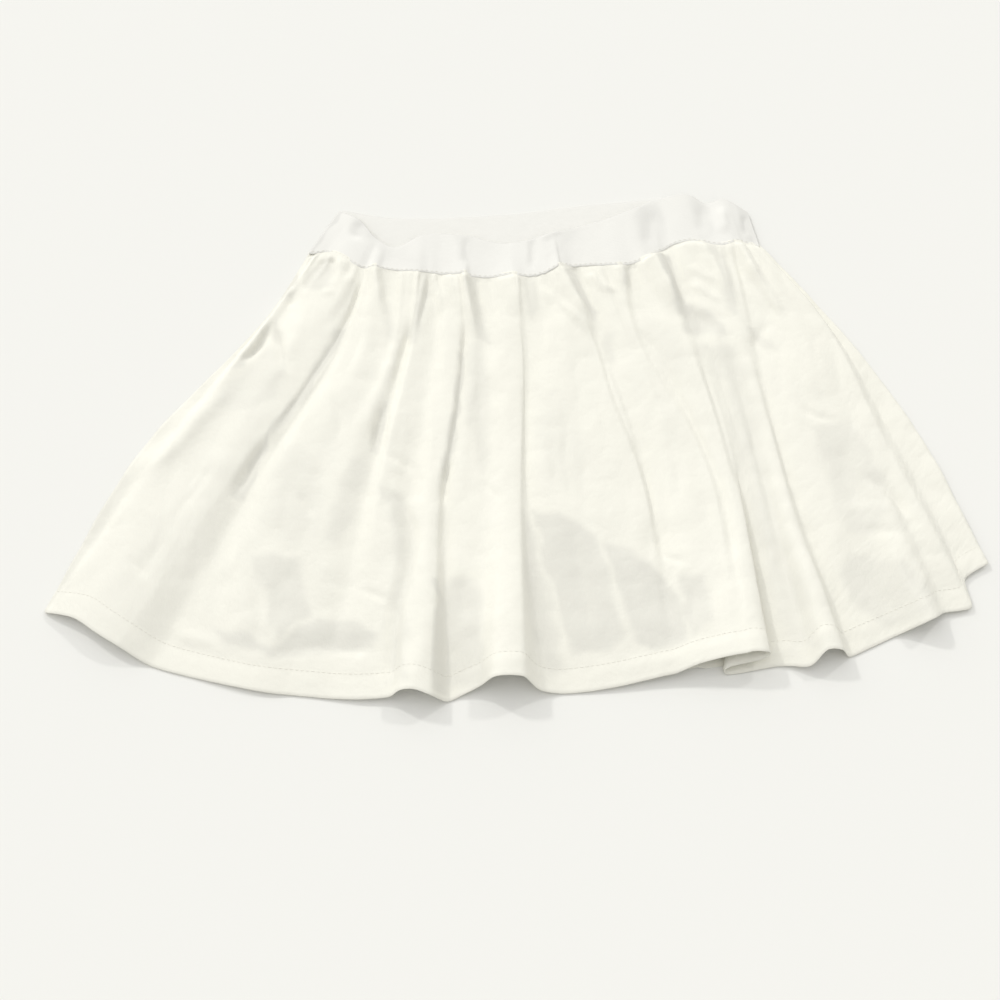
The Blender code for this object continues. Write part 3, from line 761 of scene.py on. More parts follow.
def new_piece(name: str, points: np.ndarray, faces: list,
              finish: bpy.types.Material) -> bpy.types.Object:
    """Makes a smooth piece in the frame.

    Args:
        name: The piece's name.
        points: Its corners in the layout's millimetres.
        faces: The corners of each face.
        finish: The material it is made of.

    Returns:
        The new piece, in the scene.
    """
    mesh = bpy.data.meshes.new(name)
    mesh.from_pydata(((points - LAYOUT_ORIGIN) * MM).tolist(), [], faces)
    mesh.shade_smooth()
    mesh.materials.append(finish)
    piece = bpy.data.objects.new(name, mesh)
    bpy.context.scene.collection.objects.link(piece)
    return piece


class SheetMesh:
    """Turns a grid of points into a thin closed shell of cloth with rounded edges."""

    def __init__(self, name: str, thickness: float) -> None:
        """Names the piece and gives its thickness in millimetres."""
        self.name = name
        self.thickness = thickness

    def rim(self, row_count: int, column_count: int) -> np.ndarray:
        """Indices of the grid's border points, in order round it."""
        index = np.arange(row_count * column_count).reshape(row_count, column_count)
        return np.concatenate([index[0, :-1], index[:-1, -1], index[-1, :0:-1], index[:0:-1, 0]])

    def build(self, grid: np.ndarray, places: np.ndarray, finish: bpy.types.Material,
              painted_shade_share: np.ndarray | None = None) -> bpy.types.Object:
        """Makes the shell.

        Args:
            grid: Points of its middle surface by row, column and axis, in millimetres.
            places: Where each point lies on the flat cloth, in metres.
            finish: The material it is made of.
            painted_shade_share: How much painted shade each point's colour takes, from 0 to 1.

        Returns:
            The new piece, in the frame.
        """
        row_count, column_count = grid.shape[:2]
        half = 0.5 * self.thickness
        up = normals(grid) * half
        edge = self.rim(row_count, column_count)
        flat = grid.reshape(-1, 3)
        count = row_count * column_count
        rows, columns = np.divmod(edge, column_count)
        inner = (np.clip(rows, 1, row_count - 2) * column_count + np.clip(columns, 1, column_count - 2))
        outward = flat[edge] - flat[inner]
        outward /= np.maximum(np.linalg.norm(outward, axis=1, keepdims=True), TINY)
        border = flat[edge] + outward * half
        points = np.concatenate([(grid + up).reshape(-1, 3), (grid - up).reshape(-1, 3), border])
        cut = places.reshape(-1, 2)
        cut = np.concatenate([cut, cut, cut[edge]])

        corner = (np.arange(row_count - 1)[:, None] * column_count + np.arange(column_count - 1)).ravel()
        top = np.stack([corner, corner + column_count, corner + column_count + 1, corner + 1], axis=1)
        bottom = top[:, ::-1] + count
        following = np.roll(edge, -1)
        ring = 2 * count + np.arange(len(edge))
        next_ring = np.roll(ring, -1)
        upper = np.stack([edge, following, next_ring, ring], axis=1)
        lower = np.stack([ring, next_ring, following + count, edge + count], axis=1)
        faces = np.concatenate([top, bottom, upper, lower])

        piece = new_piece(self.name, points, faces.tolist(), finish)
        layer = piece.data.uv_layers.new(name=CUT_MAP)
        layer.uv.foreach_set("vector", cut[faces.ravel()].astype(np.float32).ravel())
        # The mask of painted shade, which darkens the colour where shade is painted.
        if painted_shade_share is not None:
            shares = painted_shade_share.astype(np.float32).ravel()
            mask = piece.data.attributes.new(PAINTED_SHADE_MASK, "FLOAT", "POINT")
            mask.data.foreach_set("value", np.concatenate([shares, shares, shares[edge]]))
        return piece


class Surface:
    """Reads the height of a piece's upper face anywhere on the floor plan."""

    ABOVE = 100.0

    def __init__(self, *pieces: bpy.types.Object) -> None:
        """Prepares the pieces.

        Args:
            *pieces: What lies on the floor plan.
        """
        points, faces = [], []
        for piece in pieces:
            first = len(points)
            points += [tuple(np.array(v.co) / MM + LAYOUT_ORIGIN) for v in piece.data.vertices]
            faces += [tuple(first + k for k in face.vertices) for face in piece.data.polygons]
        self.tree = BVHTree.FromPolygons(points, faces)

    def heights(self, grid: np.ndarray) -> np.ndarray:
        """Heights of the pieces under each point of a grid.

        Args:
            grid: Points by row, column and axis, in millimetres.

        Returns:
            A height for each point, and 0 where nothing is under it.
        """
        down = Vector((0.0, 0.0, -1.0))
        found = [self.tree.ray_cast(Vector((x, y, self.ABOVE)), down)[0] for x, y, _ in grid.reshape(-1, 3)]
        return np.array([0.0 if hit is None else hit.z for hit in found]).reshape(grid.shape[:2])


class NodeBuilder:
    """Adds nodes to a node tree with less writing."""

    def __init__(self, tree: bpy.types.NodeTree) -> None:
        """Starts on a tree."""
        self.tree = tree

    def join(self, socket: bpy.types.NodeSocket, value: object) -> None:
        """Links an input to another node's output, or sets it to a plain value.

        Args:
            socket: The input.
            value: A socket, or a plain value of the input's kind.
        """
        if isinstance(value, bpy.types.NodeSocket):
            self.tree.links.new(value, socket)
        else:
            socket.default_value = value

    def add(self, kind: str, settings: dict | None = None, **inputs: object) -> bpy.types.Node:
        """Adds a node.

        Args:
            kind: The node's type name.
            settings: Values for the node's own properties.
            **inputs: Values or sockets for its inputs, by name with _ for a space, or n0, n1 by place.

        Returns:
            The new node.
        """
        node = self.tree.nodes.new(kind)
        for name, value in (settings or {}).items():
            setattr(node, name, value)
        for name, value in inputs.items():
            by_place = name[0] == "n" and name[1:].isdigit()
            self.join(node.inputs[int(name[1:]) if by_place else name.replace("_", " ")], value)
        return node

    def math(self, operation: str, *values: object) -> bpy.types.NodeSocket:
        """A Math node's result from values or sockets."""
        inputs = {f"n{i}": value for i, value in enumerate(values)}
        return self.add("ShaderNodeMath", {"operation": operation}, **inputs).outputs[0]

    def mix(self, share: object, *colours: object) -> bpy.types.NodeSocket:
        """A colour between two, each of them a colour or a socket."""
        first, second = (c if isinstance(c, bpy.types.NodeSocket) else (*c, 1.0) for c in colours)
        return self.add("ShaderNodeMix", {"data_type": "RGBA"}, n0=share, n6=first, n7=second).outputs[2]


class FinishBuilder(NodeBuilder):
    """A new material, and the builder of its nodes."""

    def __init__(self, name: str, colour: tuple[float, float, float]) -> None:
        """Starts a material.

        Args:
            name: The material's name.
            colour: The plain colour that stands for it.
        """
        self.finish = bpy.data.materials.new(name)
        self.finish.use_nodes = True
        self.finish.diffuse_color = (*colour, 1.0)
        super().__init__(self.finish.node_tree)
        self.shader = self.tree.nodes["Principled BSDF"]

    def surface(self, **inputs: object) -> bpy.types.Material:
        """Joins the shader's inputs.

        Args:
            **inputs: Values or sockets by the input's name, with _ for a space.

        Returns:
            The finished material.
        """
        for name, value in inputs.items():
            self.join(self.shader.inputs[name.replace("_", " ")], value)
        return self.finish


def new_group(name: str, inputs: dict[str, float], outputs: dict[str, str]) -> tuple:
    """A shader node group with its sockets.

    Args:
        name: The group's name.
        inputs: Names and defaults of its number inputs; a Vector input named Place is added first.
        outputs: Names of its outputs and their socket types.

    Returns:
        The group, its builder, its input node and its output node.
    """
    group = bpy.data.node_groups.new(name, "ShaderNodeTree")
    group.interface.new_socket("Place", in_out="INPUT", socket_type="NodeSocketVector")
    for label, default in inputs.items():
        socket = group.interface.new_socket(label, in_out="INPUT", socket_type="NodeSocketFloat")
        socket.default_value = default
    for label, kind in outputs.items():
        group.interface.new_socket(label, in_out="OUTPUT", socket_type=kind)
    build = NodeBuilder(group)
    return group, build, build.add("NodeGroupInput"), build.add("NodeGroupOutput")


class Pattern(Enum):
    """How a cloth is woven, with the name of the socket that takes the size of its threads."""

    PLAIN = "Thread"
    RIBBED = "Cord"


class Effects:
    """The shader node groups that the finishes share, each made once."""

    SLUB_THINNESS = 0.03
    WARP_SLUBS = 900.0
    WEFT_SLUBS = 800.0
    CROSSINGS = 0.25
    RIDGE_SIZE = 0.6
    TONE_SIZE = 14.0
    PICK_HEIGHT = 0.35

    def __init__(self) -> None:
        """Builds the groups."""
        self.patterns = {Pattern.PLAIN: self.plain_weave(), Pattern.RIBBED: self.webbing_ribs()}
        self.rumple = self.fine_rumple()

    @staticmethod
    def wave(build: NodeBuilder, place: bpy.types.NodeSocket,
             size: bpy.types.NodeSocket) -> bpy.types.NodeSocket:
        """A sine that crosses zero once for each thread of the given size."""
        turn = build.math("MULTIPLY", build.math("DIVIDE", place, size), math.pi)
        return build.math("SINE", turn)

    @staticmethod
    def slubs(build: NodeBuilder, place: bpy.types.NodeSocket, thin: tuple, scale: float) -> bpy.types.Node:
        """Thick and thin places along the threads that run one way."""
        drawn = build.add("ShaderNodeMapping", n0=place, Scale=thin).outputs[0]
        return build.add("ShaderNodeTexNoise", Vector=drawn, Scale=scale, Detail=2.0)

    def plain_weave(self) -> bpy.types.NodeTree:
        """Threads over and under each other, with the slubs of spun yarn."""
        group, build, given, made = new_group(
            "plain_weave", {"Thread": 0.00042, "Slub": 0.35},
            {"Height": "NodeSocketFloat", "Gaps": "NodeSocketFloat"})
        place, thread = given.outputs["Place"], given.outputs["Thread"]
        split = build.add("ShaderNodeSeparateXYZ", Vector=place)
        across, down = (self.wave(build, split.outputs[k], thread) for k in range(2))
        over = build.math("MULTIPLY", across, down)
        rounded = build.math("MULTIPLY", build.math("ABSOLUTE", across), build.math("ABSOLUTE", down))
        warp = self.slubs(build, place, (1.0, self.SLUB_THINNESS, 1.0), self.WARP_SLUBS)
        weft = self.slubs(build, place, (self.SLUB_THINNESS, 1.0, 1.0), self.WEFT_SLUBS)
        yarn = build.math("ADD", warp.outputs["Fac"], weft.outputs["Fac"])
        height = build.math("ADD", build.math("MULTIPLY", over, self.CROSSINGS),
                            build.math("MULTIPLY", yarn, given.outputs["Slub"]))
        build.join(made.inputs["Height"], build.math("ADD", height, rounded))
        build.join(made.inputs["Gaps"], build.math("SUBTRACT", 1.0, rounded))
        return group

    def fine_rumple(self) -> bpy.types.NodeTree:
        """The faint unevenness of worn, unironed cloth, and where it is a little deeper in colour."""
        group, build, given, made = new_group(
            "fine_rumple", {"Size": 90.0, "Sharpness": 0.5},
            {"Height": "NodeSocketFloat", "Tone": "NodeSocketFloat"})
        place, size = given.outputs["Place"], given.outputs["Size"]
        drift = build.add("ShaderNodeTexNoise", Vector=place, Scale=size, Detail=3.0, Roughness=0.55)
        ridges = build.add("ShaderNodeTexNoise", Vector=place, Detail=2.0,
                           Scale=build.math("MULTIPLY", size, self.RIDGE_SIZE))
        folded = build.math("ABSOLUTE", build.math("SUBTRACT", ridges.outputs["Fac"], 0.5))
        height = build.math("SUBTRACT", drift.outputs["Fac"],
                            build.math("MULTIPLY", folded, given.outputs["Sharpness"]))
        tone = build.add("ShaderNodeTexNoise", Vector=place, Scale=self.TONE_SIZE, Detail=4.0,
                         Roughness=0.6)
        build.join(made.inputs["Height"], height)
        build.join(made.inputs["Tone"], tone.outputs["Fac"])
        return group

    def webbing_ribs(self) -> bpy.types.NodeTree:
        """The cords along an elastic webbing, and the fine picks across them."""
        group, build, given, made = new_group(
            "webbing_ribs", {"Cord": 0.0011, "Pick": 0.0006},
            {"Height": "NodeSocketFloat", "Gaps": "NodeSocketFloat"})
        split = build.add("ShaderNodeSeparateXYZ", Vector=given.outputs["Place"])
        cords = build.math("ABSOLUTE", self.wave(build, split.outputs[1], given.outputs["Cord"]))
        picks = build.math("ABSOLUTE", self.wave(build, split.outputs[0], given.outputs["Pick"]))
        height = build.math("ADD", cords, build.math("MULTIPLY", picks, self.PICK_HEIGHT))
        build.join(made.inputs["Height"], height)
        build.join(made.inputs["Gaps"], build.math("SUBTRACT", 1.0, cords))
        return group


@dataclass(frozen=True)
class WovenFinish:
    """Plain woven cotton blend: its colours, its weave and how it answers the light."""

    name: str
    lit: tuple[float, float, float]
    deep: tuple[float, float, float]
    pattern: Pattern = Pattern.PLAIN
    thread: float = 0.00042
    weave_depth: float = 0.00006
    weave_strength: float = 0.7
    rumple_depth: float = 0.0006
    # Brightness where shade is painted into the colour, as a share of the lit colour.
    painted_shade: float = 0.86
    gap_tone: float = 0.25
    drift_tone: float = 0.5
    roughness: float = 0.62
    gap_roughness: float = 0.2
    sheen: float = 0.12
    sheen_roughness: float = 0.45
    specular: float = 0.3

    def material(self, effects: Effects) -> bpy.types.Material:
        """Makes the finish.

        Args:
            effects: The shared node groups.

        Returns:
            The material.
        """
        build = FinishBuilder(self.name, self.lit)
        place = build.add("ShaderNodeUVMap", {"uv_map": CUT_MAP}).outputs[0]
        weave = build.add("ShaderNodeGroup", {"node_tree": effects.patterns[self.pattern]}, Place=place,
                          **{self.pattern.value: self.thread})
        rumple = build.add("ShaderNodeGroup", {"node_tree": effects.rumple}, Place=place)
        tone = build.math("ADD", build.math("MULTIPLY", weave.outputs["Gaps"], self.gap_tone),
                          build.math("MULTIPLY", rumple.outputs["Tone"], self.drift_tone))
        # Painted shade: the mask darkens the colour in deep folds and where the cloth stands off the layers
        # below.
        painted_shade_share = build.add("ShaderNodeAttribute", {"attribute_name": PAINTED_SHADE_MASK})
        painted_shade_colour = tuple(channel * self.painted_shade for channel in self.lit)
        colour = build.mix(painted_shade_share.outputs["Fac"], build.mix(tone, self.lit, self.deep), painted_shade_colour)
        uneven = build.math("MULTIPLY", weave.outputs["Gaps"], self.gap_roughness)
        soft = build.add("ShaderNodeBump", Strength=1.0, Distance=self.rumple_depth,
                         Height=rumple.outputs["Height"])
        fine = build.add("ShaderNodeBump", Strength=self.weave_strength, Distance=self.weave_depth,
                         Height=weave.outputs["Height"], Normal=soft.outputs[0])
        return build.surface(
            Base_Color=colour, Roughness=build.math("ADD", self.roughness, uneven), Normal=fine.outputs[0],
            Sheen_Weight=self.sheen, Sheen_Roughness=self.sheen_roughness, Specular_IOR_Level=self.specular)


@dataclass(frozen=True)
class ElasticFinish(WovenFinish):
    """Matt white woven elastic webbing."""

    pattern: Pattern = Pattern.RIBBED
    thread: float = 0.0011
    rumple_depth: float = 0.0003
    # Brightness where shade is painted into the elastic's colour, as a share of its lit colour.
    painted_shade: float = 0.88
    gap_tone: float = 0.35
    drift_tone: float = 0.3
    roughness: float = 0.78
    gap_roughness: float = 0.15
    sheen: float = 0.05
    sheen_roughness: float = 0.5
    specular: float = 0.25


@dataclass(frozen=True)
class ThreadFinish:
    """Twisted sewing thread."""

    name: str
    lit: tuple[float, float, float]
    deep: tuple[float, float, float]
    ply: float = 2600.0
    ply_depth: float = 0.00005

    def material(self) -> bpy.types.Material:
        """Makes the finish."""
        build = FinishBuilder(self.name, self.lit)
        place = build.add("ShaderNodeTexCoord").outputs["Object"]
        twist = build.add("ShaderNodeTexNoise", Vector=place, Scale=self.ply, Detail=2.0).outputs["Fac"]
        bump = build.add("ShaderNodeBump", Strength=0.6, Distance=self.ply_depth, Height=twist)
        return build.surface(Base_Color=build.mix(twist, self.lit, self.deep), Normal=bump.outputs[0],
                             Roughness=0.5, Sheen_Weight=0.1)


@dataclass
class FrontPanel:
    """The front of the skirt: the pleated sheet that shows."""

    thickness: float = CLOTH
    pitch: float = 2.35
    row_count: int = 148
    row_shift: float = 0.25
    top_puff: float = 7.0
    pressed: float = 0.15
    small_gathers: int = 74
    gather_seed: int = 11
    drift: float = 0.35
    fine_drift: float = 0.14
    crumple: float = 1.1
    fine_crumple: float = 0.5
    hem_slack: float = 0.1
    hem_reach: float = 40.0
    hem_step: float = 2.5
    seam_grip: float = 0.85
    seam_lap: float = 3.5
    seam_hold: float = 3.0
    seam_reach: int = 10
    ease: int = 5

    # The small gathers: how evenly they are spaced, then their width, height, length and lean.
    GATHER_SPACING = (0.5, 1.6)
    GATHER_SPANS = ((1.3, 2.6), (0.5, 1.5), (10.0, 55.0), (-0.06, 0.06))

    def rows(self) -> np.ndarray:
        """Rows of the sheet, closer together at the gathers."""
        even = np.linspace(0.0, 1.0, self.row_count)
        return even - self.row_shift * np.sin(2.0 * np.pi * even) / (2.0 * np.pi) * (1.0 - even)

    def seam_ripple(self, grid: np.ndarray) -> np.ndarray:
        """Height of the small gathers that the seam draws up.

        Args:
            grid: The sheet's points by row, column and axis.

        Returns:
            A height for each point.
        """
        place = run(grid[0])
        draw = np.random.default_rng(self.gather_seed)
        spacing = draw.uniform(*self.GATHER_SPACING, self.small_gathers)
        centres = np.cumsum(spacing) / spacing.sum() * place[-1]
        down = (grid[0, :, 1][None] - grid[..., 1])
        ripple = np.zeros(grid.shape[:2])
        for centre in centres:
            width, height, reach, lean = (draw.uniform(*span) for span in self.GATHER_SPANS)
            away = place[None] - centre - lean * down
            ripple += height * np.exp(-((away / width) ** 2)) * np.exp(-((down / reach) ** 2))
        return ripple * (self.pressed + (1.0 - self.pressed) * rise(down / self.top_puff))

    def grid(self, below: Surface) -> np.ndarray:
        """The sheet's middle surface.

        Args:
            below: The layer that it lies on.

        Returns:
            Points by row, column and axis, in millimetres.
        """
        rows = self.rows()
        grid = loft(FRONT_FOLDS, rows, self.pitch)
        x, y = grid[..., 0].copy(), grid[..., 1].copy()
        up = np.maximum(grid[..., 2], 0.0)
        for crease in FRONT_CREASES + FRONT_FACETS + MAIN_GATHERS:
            up += crease.lift(x, y)
        up += self.seam_ripple(grid)
        from_hem = y - grid[-1, :, 1][None]
        loose = self.hem_slack + (1.0 - self.hem_slack) * rise(from_hem / self.hem_reach)
        up += self.drift * loose * DRIFT.heights(x, y)
        up += self.fine_drift * loose * FINE_DRIFT.heights(x, y)
        crumples = np.abs(CRUMPLE.heights(x, y)) + self.fine_crumple * np.abs(FINE_CRUMPLE.heights(x, y))
        up += self.crumple * loose * crumples
        layer = below.heights(grid)
        turned = rise((rows - HEM_LINE) / (1.0 - HEM_LINE) * self.hem_step)[:, None] * HEM_CLOTH
        rest = 0.5 * self.thickness + turned
        on_back = spread((layer > 0.0) * (CLOTH + HEM_CLOTH * (turned > 0.1)), self.ease)
        lying = np.maximum(rest + on_back + np.maximum(up, 0.0), rest + layer)
        held = self.seam_grip * (1.0 - rise((y[0][None] - y - self.seam_lap) / self.seam_hold))
        grid[..., 2] = lying * (1.0 - held) + evened(lying[0], self.seam_reach)[None] * held
        return grid

    def build(self, finish: bpy.types.Material,
              below: Surface) -> tuple[bpy.types.Object, np.ndarray]:
        """Makes the panel.

        Args:
            finish: Its cloth.
            below: The layer that it lies on.

        Returns:
            The piece and its middle surface.
        """
        grid = self.grid(below)
        middle = int(np.abs(grid[-1, :, 0]).argmin())
        piece = SheetMesh("front_panel", self.thickness).build(
            grid, cut_places(grid, middle), finish, painted_shade(grid, FRONT_PAINTED_SHADES))
        return piece, grid


@dataclass
class BackPanel:
    """The back of the skirt, flat on the floor between its pleats."""

    thickness: float = CLOTH
    pitch: float = 4.0
    row_count: int = 90

    def folds(self) -> list[FoldLine]:
        """The back's fold lines.

        Returns:
            Its two edges, and three lines for each pleat between them.
        """
        seam_x, seam_y = np.array(BACK_SEAM, float).T
        hem_x, hem_y = np.array(BACK_HEM, float).T

        def line(front: FoldLine, name: str, shifts: np.ndarray, share: float) -> FoldLine:
            """A line beside one of the front's.

            Args:
                front: The front's line.
                name: The new line's name.
                shifts: How far it lies from the front's at each station.
                share: Its share of the front's height.

            Returns:
                The new line.
            """
            x = [front.x_seam + shifts[0], front.x_release + shifts[1],
                 front.x_middle + shifts[2], front.x_hem + shifts[3]]
            up = [share * h for h in (front.up_seam, front.up_release, front.up_middle, front.up_hem)]
            return FoldLine(name, 1.0, x[0], smooth(seam_y, seam_x, [x[0]])[0], x[1], x[2], x[3],
                            smooth(hem_y, hem_x, [x[3]])[0], *up)

        by_name = {fold.name: fold for fold in FRONT_FOLDS}
        folds = [line(FRONT_FOLDS[0], "left_edge", np.array(BACK_LEFT_INSET), 0.0)]
        near = np.array(BACK_PLEAT_FLARE) * BACK_PLEAT_HALF_WIDTH
        for name in BACK_PLEATS:
            front = by_name[name]
            folds.append(line(front, name + "_left", -near, 0.0))
            folds.append(line(front, name + "_top", np.zeros(4), BACK_PLEAT_SHARE))
            folds.append(line(front, name + "_right", near, 0.0))
        folds.append(line(FRONT_FOLDS[-1], "right_edge", -np.array(BACK_RIGHT_INSET), 0.0))
        return folds

    def grid(self) -> np.ndarray:
        """The sheet's middle surface, by row, column and axis, in millimetres."""
        grid = loft(self.folds(), np.linspace(0.0, 1.0, self.row_count), self.pitch)
        grid[..., 2] = np.maximum(grid[..., 2], 0.0) + 0.5 * self.thickness
        return grid

    def build(self, finish: bpy.types.Material) -> tuple[bpy.types.Object, np.ndarray]:
        """Makes the panel.

        Args:
            finish: Its cloth.

        Returns:
            The piece and its middle surface.
        """
        grid = self.grid()
        middle = int(np.abs(grid[-1, :, 0]).argmin())
        piece = SheetMesh("back_panel", self.thickness).build(grid, cut_places(grid, middle), finish)
        return piece, grid


@dataclass
class TurnedHem:
    """The hem allowance, turned to the panel's inner side."""

    name: str
    offset: float
    thickness: float = HEM_CLOTH
    turn: float = 1.6
    row_count: int = 9

    def build(self, panel: np.ndarray, finish: bpy.types.Material) -> bpy.types.Object:
        """Makes the allowance along a panel's lower edge.

        Args:
            panel: The panel's middle surface.
            finish: Its cloth.

        Returns:
            The piece.
        """
        inside = normals(panel) * self.offset
        reach = np.linalg.norm(np.diff(panel[:, 0], axis=0), axis=1)[::-1].cumsum()
        start = len(panel) - 1 - int(np.searchsorted(reach, HEM_DEPTH))
        rows = panel[start:]
        back = np.linalg.norm(rows - panel[-1:], axis=2, keepdims=True)
        share = np.sqrt(np.clip(1.0 - (1.0 - np.clip(back / self.turn, 0.0, 1.0)) ** 2, 0.0, 1.0))
        grid = rows + inside[start:] * share
        grid[..., 2] = np.maximum(grid[..., 2], 0.5 * self.thickness)
        return SheetMesh(self.name, self.thickness).build(
            grid, cut_places(grid, grid.shape[1] // 2), finish)


@dataclass
class Waistband:
    """Half of the wide elastic loop."""

    name: str
    top: tuple
    rest: float
    creases: list = field(default_factory=list)
    # Areas of painted shade on the band, and how much painted shade its upper edge takes.
    painted_shades: list = field(default_factory=list)
    edge_painted_shade: float = 1.0
    thickness: float = ELASTIC
    row_count: int = 26
    ripple: float = 0.35
    overlap: float = 3.0
    lap: float = -0.1
    waver: float = 0.5
    evenness: int = 6

    def grid(self, seam: np.ndarray) -> np.ndarray:
        """The half loop's middle surface.

        Args:
            seam: The points of the panel's gathered edge.

        Returns:
            Points by row, column and axis, in millimetres.
        """
        place = run(seam[:, :2])
        share = place / place[-1]
        knots = np.array(self.top, float)
        upper = smooth(knots[:, 1:], knots[:, 0], share)
        upper[:, 2] = self.rest + np.maximum(upper[:, 2], 0.0)
        lower = seam.copy()
        lower[:, 1] -= self.overlap + self.waver * SEAM_WAVER.heights(place, place)
        lower[:, 2] = evened(np.maximum(lower[:, 2] + self.lap, self.rest), self.evenness)
        weight = np.linspace(0.0, 1.0, self.row_count)[:, None, None]
        grid = lower * (1.0 - weight) + upper * weight
        up = np.zeros(grid.shape[:2])
        for crease in self.creases:
            up += crease.lift(grid[..., 0], grid[..., 1])
        up += self.ripple * BAND_RIPPLE.heights(grid[..., 0], grid[..., 1])
        grid[..., 2] = np.maximum(grid[..., 2] + up, self.rest)
        return grid[::-1]

    def build(self, seam: np.ndarray, finish: bpy.types.Material) -> bpy.types.Object:
        """Makes the half loop.

        Args:
            seam: The points of the panel's gathered edge.
            finish: Its elastic.

        Returns:
            The piece.
        """
        grid = self.grid(seam)
        shares = painted_shade(grid, self.painted_shades)
        # Painted shade along the band's upper edge, which faces the lamps and the bright glow.
        shares[0] = self.edge_painted_shade
        return SheetMesh(self.name, self.thickness).build(
            grid, cut_places(grid, grid.shape[1] // 2), finish, shares)


@dataclass
class StitchRow:
    """A row of stitches that lies on a sheet."""

    name: str
    length: float = 2.5
    gap: float = 0.8
    radius: float = 0.17
    sides: int = 6

    # A stitch's rings: share of its length, share of its radius, and rise off the sheet in radii.
    RINGS = ((0.0, 0.35, -0.6), (0.12, 0.9, 0.1), (0.5, 1.0, 0.35), (0.88, 0.9, 0.1), (1.0, 0.35, -0.6))

    def faces(self) -> list[tuple[int, ...]]:
        """The faces of one stitch.

        Returns:
            Its sides, ring by ring, and then its two ends.
        """
        last = (len(self.RINGS) - 1) * self.sides
        faces = []
        for ring in range(0, last, self.sides):
            for k in range(self.sides):
                a, b = ring + k, ring + (k + 1) % self.sides
                faces.append((a, b, b + self.sides, a + self.sides))
        return faces + [tuple(range(self.sides))[::-1], tuple(range(last, last + self.sides))]

    def build(self, line: np.ndarray, up: np.ndarray, finish: bpy.types.Material) -> bpy.types.Object:
        """Makes the row.

        Args:
            line: Points that the row follows, in millimetres.
            up: The sheet's unit normal at each of them.
            finish: The thread.

        Returns:
            One piece with every stitch of the row.
        """
        place = run(line)
        starts = np.arange(0.5 * self.gap, place[-1] - self.length, self.length + self.gap)
        rings, swell, arch = np.array(self.RINGS).T
        angles = np.arange(self.sides) * 2.0 * np.pi / self.sides
        stitch = self.faces()
        points, faces = [], []
        for number, start in enumerate(starts):
            at = start + rings * self.length
            centre = np.stack([np.interp(at, place, line[:, k]) for k in range(3)], axis=1)
            normal = np.stack([np.interp(at, place, up[:, k]) for k in range(3)], axis=1)
            normal /= np.linalg.norm(normal, axis=1, keepdims=True)
            side = np.cross(normal, centre[-1] - centre[0])
            side /= np.linalg.norm(side, axis=1, keepdims=True)
            centre = centre + normal * (arch * self.radius)[:, None]
            turned = np.cos(angles)[:, None] * side[:, None] + np.sin(angles)[:, None] * normal[:, None]
            points.append(centre[:, None] + turned * (self.radius * swell)[:, None, None])
            first = number * len(rings) * self.sides
            faces += [tuple(first + k for k in face) for face in stitch]
        return new_piece(self.name, np.concatenate(points).reshape(-1, 3), faces, finish)


